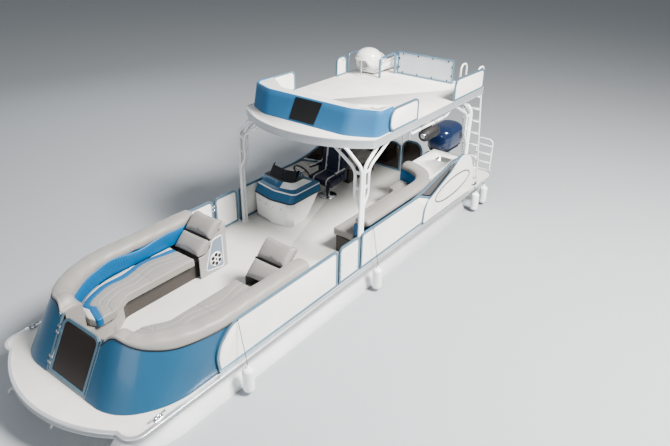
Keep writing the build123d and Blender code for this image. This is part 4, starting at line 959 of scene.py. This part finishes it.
AFT_ROLL = (
    # distance inside the lounge's outside, height under its top
    (-0.058, 0.100), (-0.062, 0.045), (-0.040, 0.008), (0.020, -0.006), (0.080, -0.009), (0.140, -0.004),
    (0.188, 0.018), (0.208, 0.055), (0.206, 0.095), (0.180, 0.125), (0.100, 0.135), (0.0, 0.135),
)
aft_rings = []
for step in range(91):
    along = AFT_LENGTH * step / 90
    point, out = aft_line(along)
    end_round = min(1, min(along + 0.012, AFT_LENGTH - along + 0.012) / 0.06)
    squeeze = 1 - (1 - end_round) ** 2 * 0.5
    profile = [(inset, aft_top - drop) for inset, drop in AFT_ROLL]
    aft_rings.append(ring_inside(point, out, profile, (AFT_MIDDLE, aft_top - AFT_DROP), squeeze))
round_off(upholster("aft_roll", skin_rings(aft_rings), grey_vinyl, "aft_seat_back", sharp=70))
band_rings = []
for step in range(241):
    along = 0.01 + (AFT_LENGTH - 0.02) * step / 240
    point, out = aft_line(along)
    rib = RIB_DEPTH * abs(sin(pi * along / RIB_PITCH))
    band_rings.append(ring_inside(point, out, (
        (0.186, 1.060), (0.200 + rib, 1.020), (0.205 + rib, 0.930), (0.200, 0.846), (0.120, 0.846),
        (0.120, 1.060))))
upholster("aft_ribbed_band", skin_rings(band_rings), blue_vinyl, sharp=70)
AFT_SEAMS, AFT_SEAT_FACE = (1.10, 1.72), 0.80
aft_seat_shape = foam(node_shape("aft_seat_cushion"), 0.016, 0.012)
for vert in aft_seat_shape.verts:
    if vert.co.z > AFT_SEAT_FACE:
        vert.co.z -= sum(groove(vert.co.y - seam, 0.018, 0.010) for seam in AFT_SEAMS)
upholster("aft_seat", aft_seat_shape, grey_vinyl, "aft_seat_cushion")
dress("aft_lounge_base", dark_base, edge=0.006)


# Starboard bench
# Short bench behind the helm: dark riser and one foam seat with its back.
dress("aft_bench_base", dark_base, edge=0.006)
upholster("bench_pads", foam(node_shape("aft_bench_pads"), 0.016, 0.012), grey_vinyl,
          "aft_bench_pads")


# Stern counter
# White gelcoat moulding in the port stern corner with a pressed steel sink let into its top.
COUNTER_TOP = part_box("stern_counter")[1].z
SINK_X, SINK_Y, SINK_WIDE, SINK_LONG = 0.900, 3.420, 0.270, 0.230
counter = dress("stern_counter", gelcoat, sharp=30)
paint_faces(counter, stainless, lambda spot, normal: spot.z < COUNTER_TOP - 0.003
            and abs(spot.x - SINK_X) < SINK_WIDE / 2 and abs(spot.y - SINK_Y) < SINK_LONG / 2)


# Helm
# White cabinet with a door and a row of latches. The blue moulding on it has a black gasket under it and a
# white lip. The binnacle on top is white toward the aisle and the raked screen is black; the dash's top and
# aft slope are painted black, as painted shade of the upper deck.
dress("helm_cabinet", gelcoat, sharp=50)
cabinet_shape = node_shape("helm_cabinet")
cabinet_tree = bvhtree.BVHTree.FromBMesh(cabinet_shape)
cabinet_shape.free()
latch_shape = bmesh.new()
LATCH_Z = 0.785
for x in (-1.080, -0.900, -0.725, -0.570):
    spot, normal = cabinet_tree.ray_cast(Vector((x, 0, LATCH_Z)), Vector((0, 1, 0)))[:2]
    turn = normal.to_track_quat("Z", "Y").to_matrix().to_4x4()
    for wide, tall, deep in ((0.056, 0.024, 0.010), (0.020, 0.040, 0.022)):
        bmesh.ops.create_cube(latch_shape, size=1.0,
                              matrix=Matrix.Translation(spot) @ turn @ Matrix.Diagonal((wide, tall, deep, 1)))
make_piece("cabinet_latches", latch_shape, stainless)
CABINET_DOOR = ((-1.165, -0.520, 0.880), (-1.165, -0.520, 0.505))
make_piece("cabinet_door", draped_sheet("helm_cabinet", CABINET_DOOR, -0.006, lift=0.006), gelcoat,
           sharp=40)
POD_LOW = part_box("helm_pod")[0].z
HELM_TOP = POD_LOW + 0.155
pod_shape = node_shape("helm_pod")
GASKET_TOP = POD_LOW + 0.018
LIP_LOW = HELM_TOP - 0.020
BINNACLE_LOW = HELM_TOP + 0.005
for height in (GASKET_TOP, LIP_LOW, HELM_TOP + 0.004):
    slice_shape(pod_shape, (0, 0, height), (0, 0, 1))
SWOOSH_X, SWOOSH_Y, SWOOSH_SLANT = -0.740, 0.75, 0.25
LIP_AFT_Y = 1.37
slice_shape(pod_shape, (SWOOSH_X, SWOOSH_Y, 0), (1, -SWOOSH_SLANT, 0))
blue_moulding = finish("blue_moulding", (0.038, 0.135, 0.255), 0.28, coat=0.5, grain=300, relief=0.0001)
pod = make_piece("helm_moulding", pod_shape, blue_moulding, sharp=28)
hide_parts("helm_pod")
paint_faces(pod, black_grip, lambda spot, normal: spot.z < GASKET_TOP and abs(normal.z) < 0.8)
paint_faces(pod, gelcoat, lambda spot, normal: LIP_LOW < spot.z < HELM_TOP - 0.001 and spot.y < LIP_AFT_Y)
paint_faces(pod, gelcoat, lambda spot, normal: spot.z > BINNACLE_LOW and normal.y < 0.3 and normal.z < 0.9
            and spot.x - SWOOSH_X > SWOOSH_SLANT * (spot.y - SWOOSH_Y))
# Painted shade: the binnacle's top and aft slope are painted black where the upper deck shades the dash.
paint_faces(pod, black_grip, lambda spot, normal:
            spot.z > BINNACLE_LOW and (normal.y > 0.3 or normal.z > 0.9))
dress("helm_screen", finish("tinted_screen", (0.010, 0.011, 0.013), 0.08, coat=0.6))


# Steering wheel
# Black padded rim on polished steel spokes, bolted to the dash.
wheel = dress("steering_wheel", black_grip, "wheel", sharp=50)
wheel_spot = Vector(JOINTS["wheel_turn"]["pos_m"])
wheel_axis = Vector(JOINTS["wheel_turn"]["axis"]).normalized()
RIM_INSIDE = 0.148
paint_faces(wheel, stainless, lambda spot, normal: (spot - wheel_spot).cross(wheel_axis).length < RIM_INSIDE)


# Captain's chair
# Navy foam seat and back with pale stripes, arms at both sides, on a steel pedestal bolted to the deck.
dress("chair_pedestal", stainless)
navy_vinyl = finish("navy_vinyl", (0.012, 0.016, 0.040), 0.42, grain=900, relief=0.0005)
pale_vinyl = finish("pale_vinyl", VINYL_PALE, 0.42, grain=900, relief=0.0005)
CHAIR_X, STRIPE_IN, STRIPE_OUT, STRIPE_LOW = -0.700, 0.125, 0.158, 0.80
ARM_IN, ARM_TOP = 0.262, 1.02
chair_shape = foam(node_shape("chair_seat"), 0.014, 0.010)
chair = upholster("captain_chair", chair_shape, navy_vinyl, "chair_seat", "captain_seat")
paint_faces(chair, pale_vinyl, lambda spot, normal:
            STRIPE_IN < abs(spot.x - CHAIR_X) < STRIPE_OUT and spot.z > STRIPE_LOW)
paint_faces(chair, pale_vinyl, lambda spot, normal:
            abs(spot.x - CHAIR_X) > ARM_IN and spot.z > ARM_TOP and normal.z > 0.6)


# Outboard motor
# Navy-painted castings under a glossy moulded cowl with a black joint line, and a polished propeller.
navy = finish("navy_paint", (0.012, 0.026, 0.075), 0.14, coat=0.8, grain=500, relief=0.00005)
dress("clamp_bracket", navy, edge=0.003)
dress("swivel_bracket", navy, "swivel", sharp=40)
dress("motor_leg", navy, "motor", sharp=40)
paint_node("engine_block", dark_base)
dress("propeller", stainless, "prop", sharp=50)
COWL = (
    # height, width, length, middle in y, corner
    (0.662, 0.460, 0.760, 5.250, 0.170),
    (0.700, 0.500, 0.810, 5.256, 0.190),
    (0.770, 0.550, 0.870, 5.270, 0.210),
    (0.860, 0.560, 0.880, 5.276, 0.215),
    (0.960, 0.558, 0.878, 5.280, 0.220),
    (1.040, 0.532, 0.846, 5.280, 0.215),
    (1.095, 0.484, 0.788, 5.280, 0.205),
    (1.135, 0.410, 0.690, 5.280, 0.180),
    (1.158, 0.310, 0.560, 5.280, 0.145),
    (1.166, 0.160, 0.380, 5.280, 0.075),
)


def rounded_ring(z, wide, long, y, corner):
    """Ring of points round a rectangle with round corners."""
    ring = []
    for centre_x, centre_y, start in ((1, 1, 0), (-1, 1, 90), (-1, -1, 180), (1, -1, 270)):
        for step in range(9):
            turn = radians(start + 90 * step / 8)
            ring.append(Vector((centre_x * (wide / 2 - corner) + corner * cos(turn),
                                y + centre_y * (long / 2 - corner) + corner * sin(turn), z)))
    return ring


cowl = make_piece("motor_cowl_skin", skin_rings([rounded_ring(*level) for level in COWL]), navy,
                  "motor", sharp=75)
round_off(cowl)
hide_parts("motor_cowl")
make_piece("cowl_joint", cord_mesh(rounded_ring(0.706, 0.508, 0.818, 5.257, 0.194), 0.006, closed=True),
           black_grip, "motor", sharp=70)
VENT_PLACE, VENT_STEP, VENT_SIZE = (0.272, 5.47, 0.86), 0.036, (0.030, 0.17, 0.012, 1)
vent_shape = bmesh.new()
for side in (-1, 1):
    for row in range(4):
        place = (side * VENT_PLACE[0], VENT_PLACE[1], VENT_PLACE[2] + row * VENT_STEP)
        bmesh.ops.create_cube(vent_shape, size=1.0, matrix=Matrix.Translation(place)
                              @ Matrix.Rotation(radians(-12), 4, "X") @ Matrix.Diagonal(VENT_SIZE))
make_piece("cowl_vents", vent_shape, black_grip, "motor")


# Swim ladder
# White-painted hoop with three treads, pinned in blocks at the platform's aft edge.
dress("swim_ladder", post_paint, "boarding_ladder", sharp=40)


# Cleats, fenders and their lines
# Cast steel horn cleats screwed down; inflated white vinyl fenders hang on taut black lines from the rail.
dress("cleats", stainless, sharp=40)
fender_skin = finish("fender_vinyl", (0.84, 0.85, 0.86), 0.36, coat=0.2, grain=300, relief=0.0002)
dress("fenders", fender_skin, sharp=40)
dress("fender_lines", black_grip)
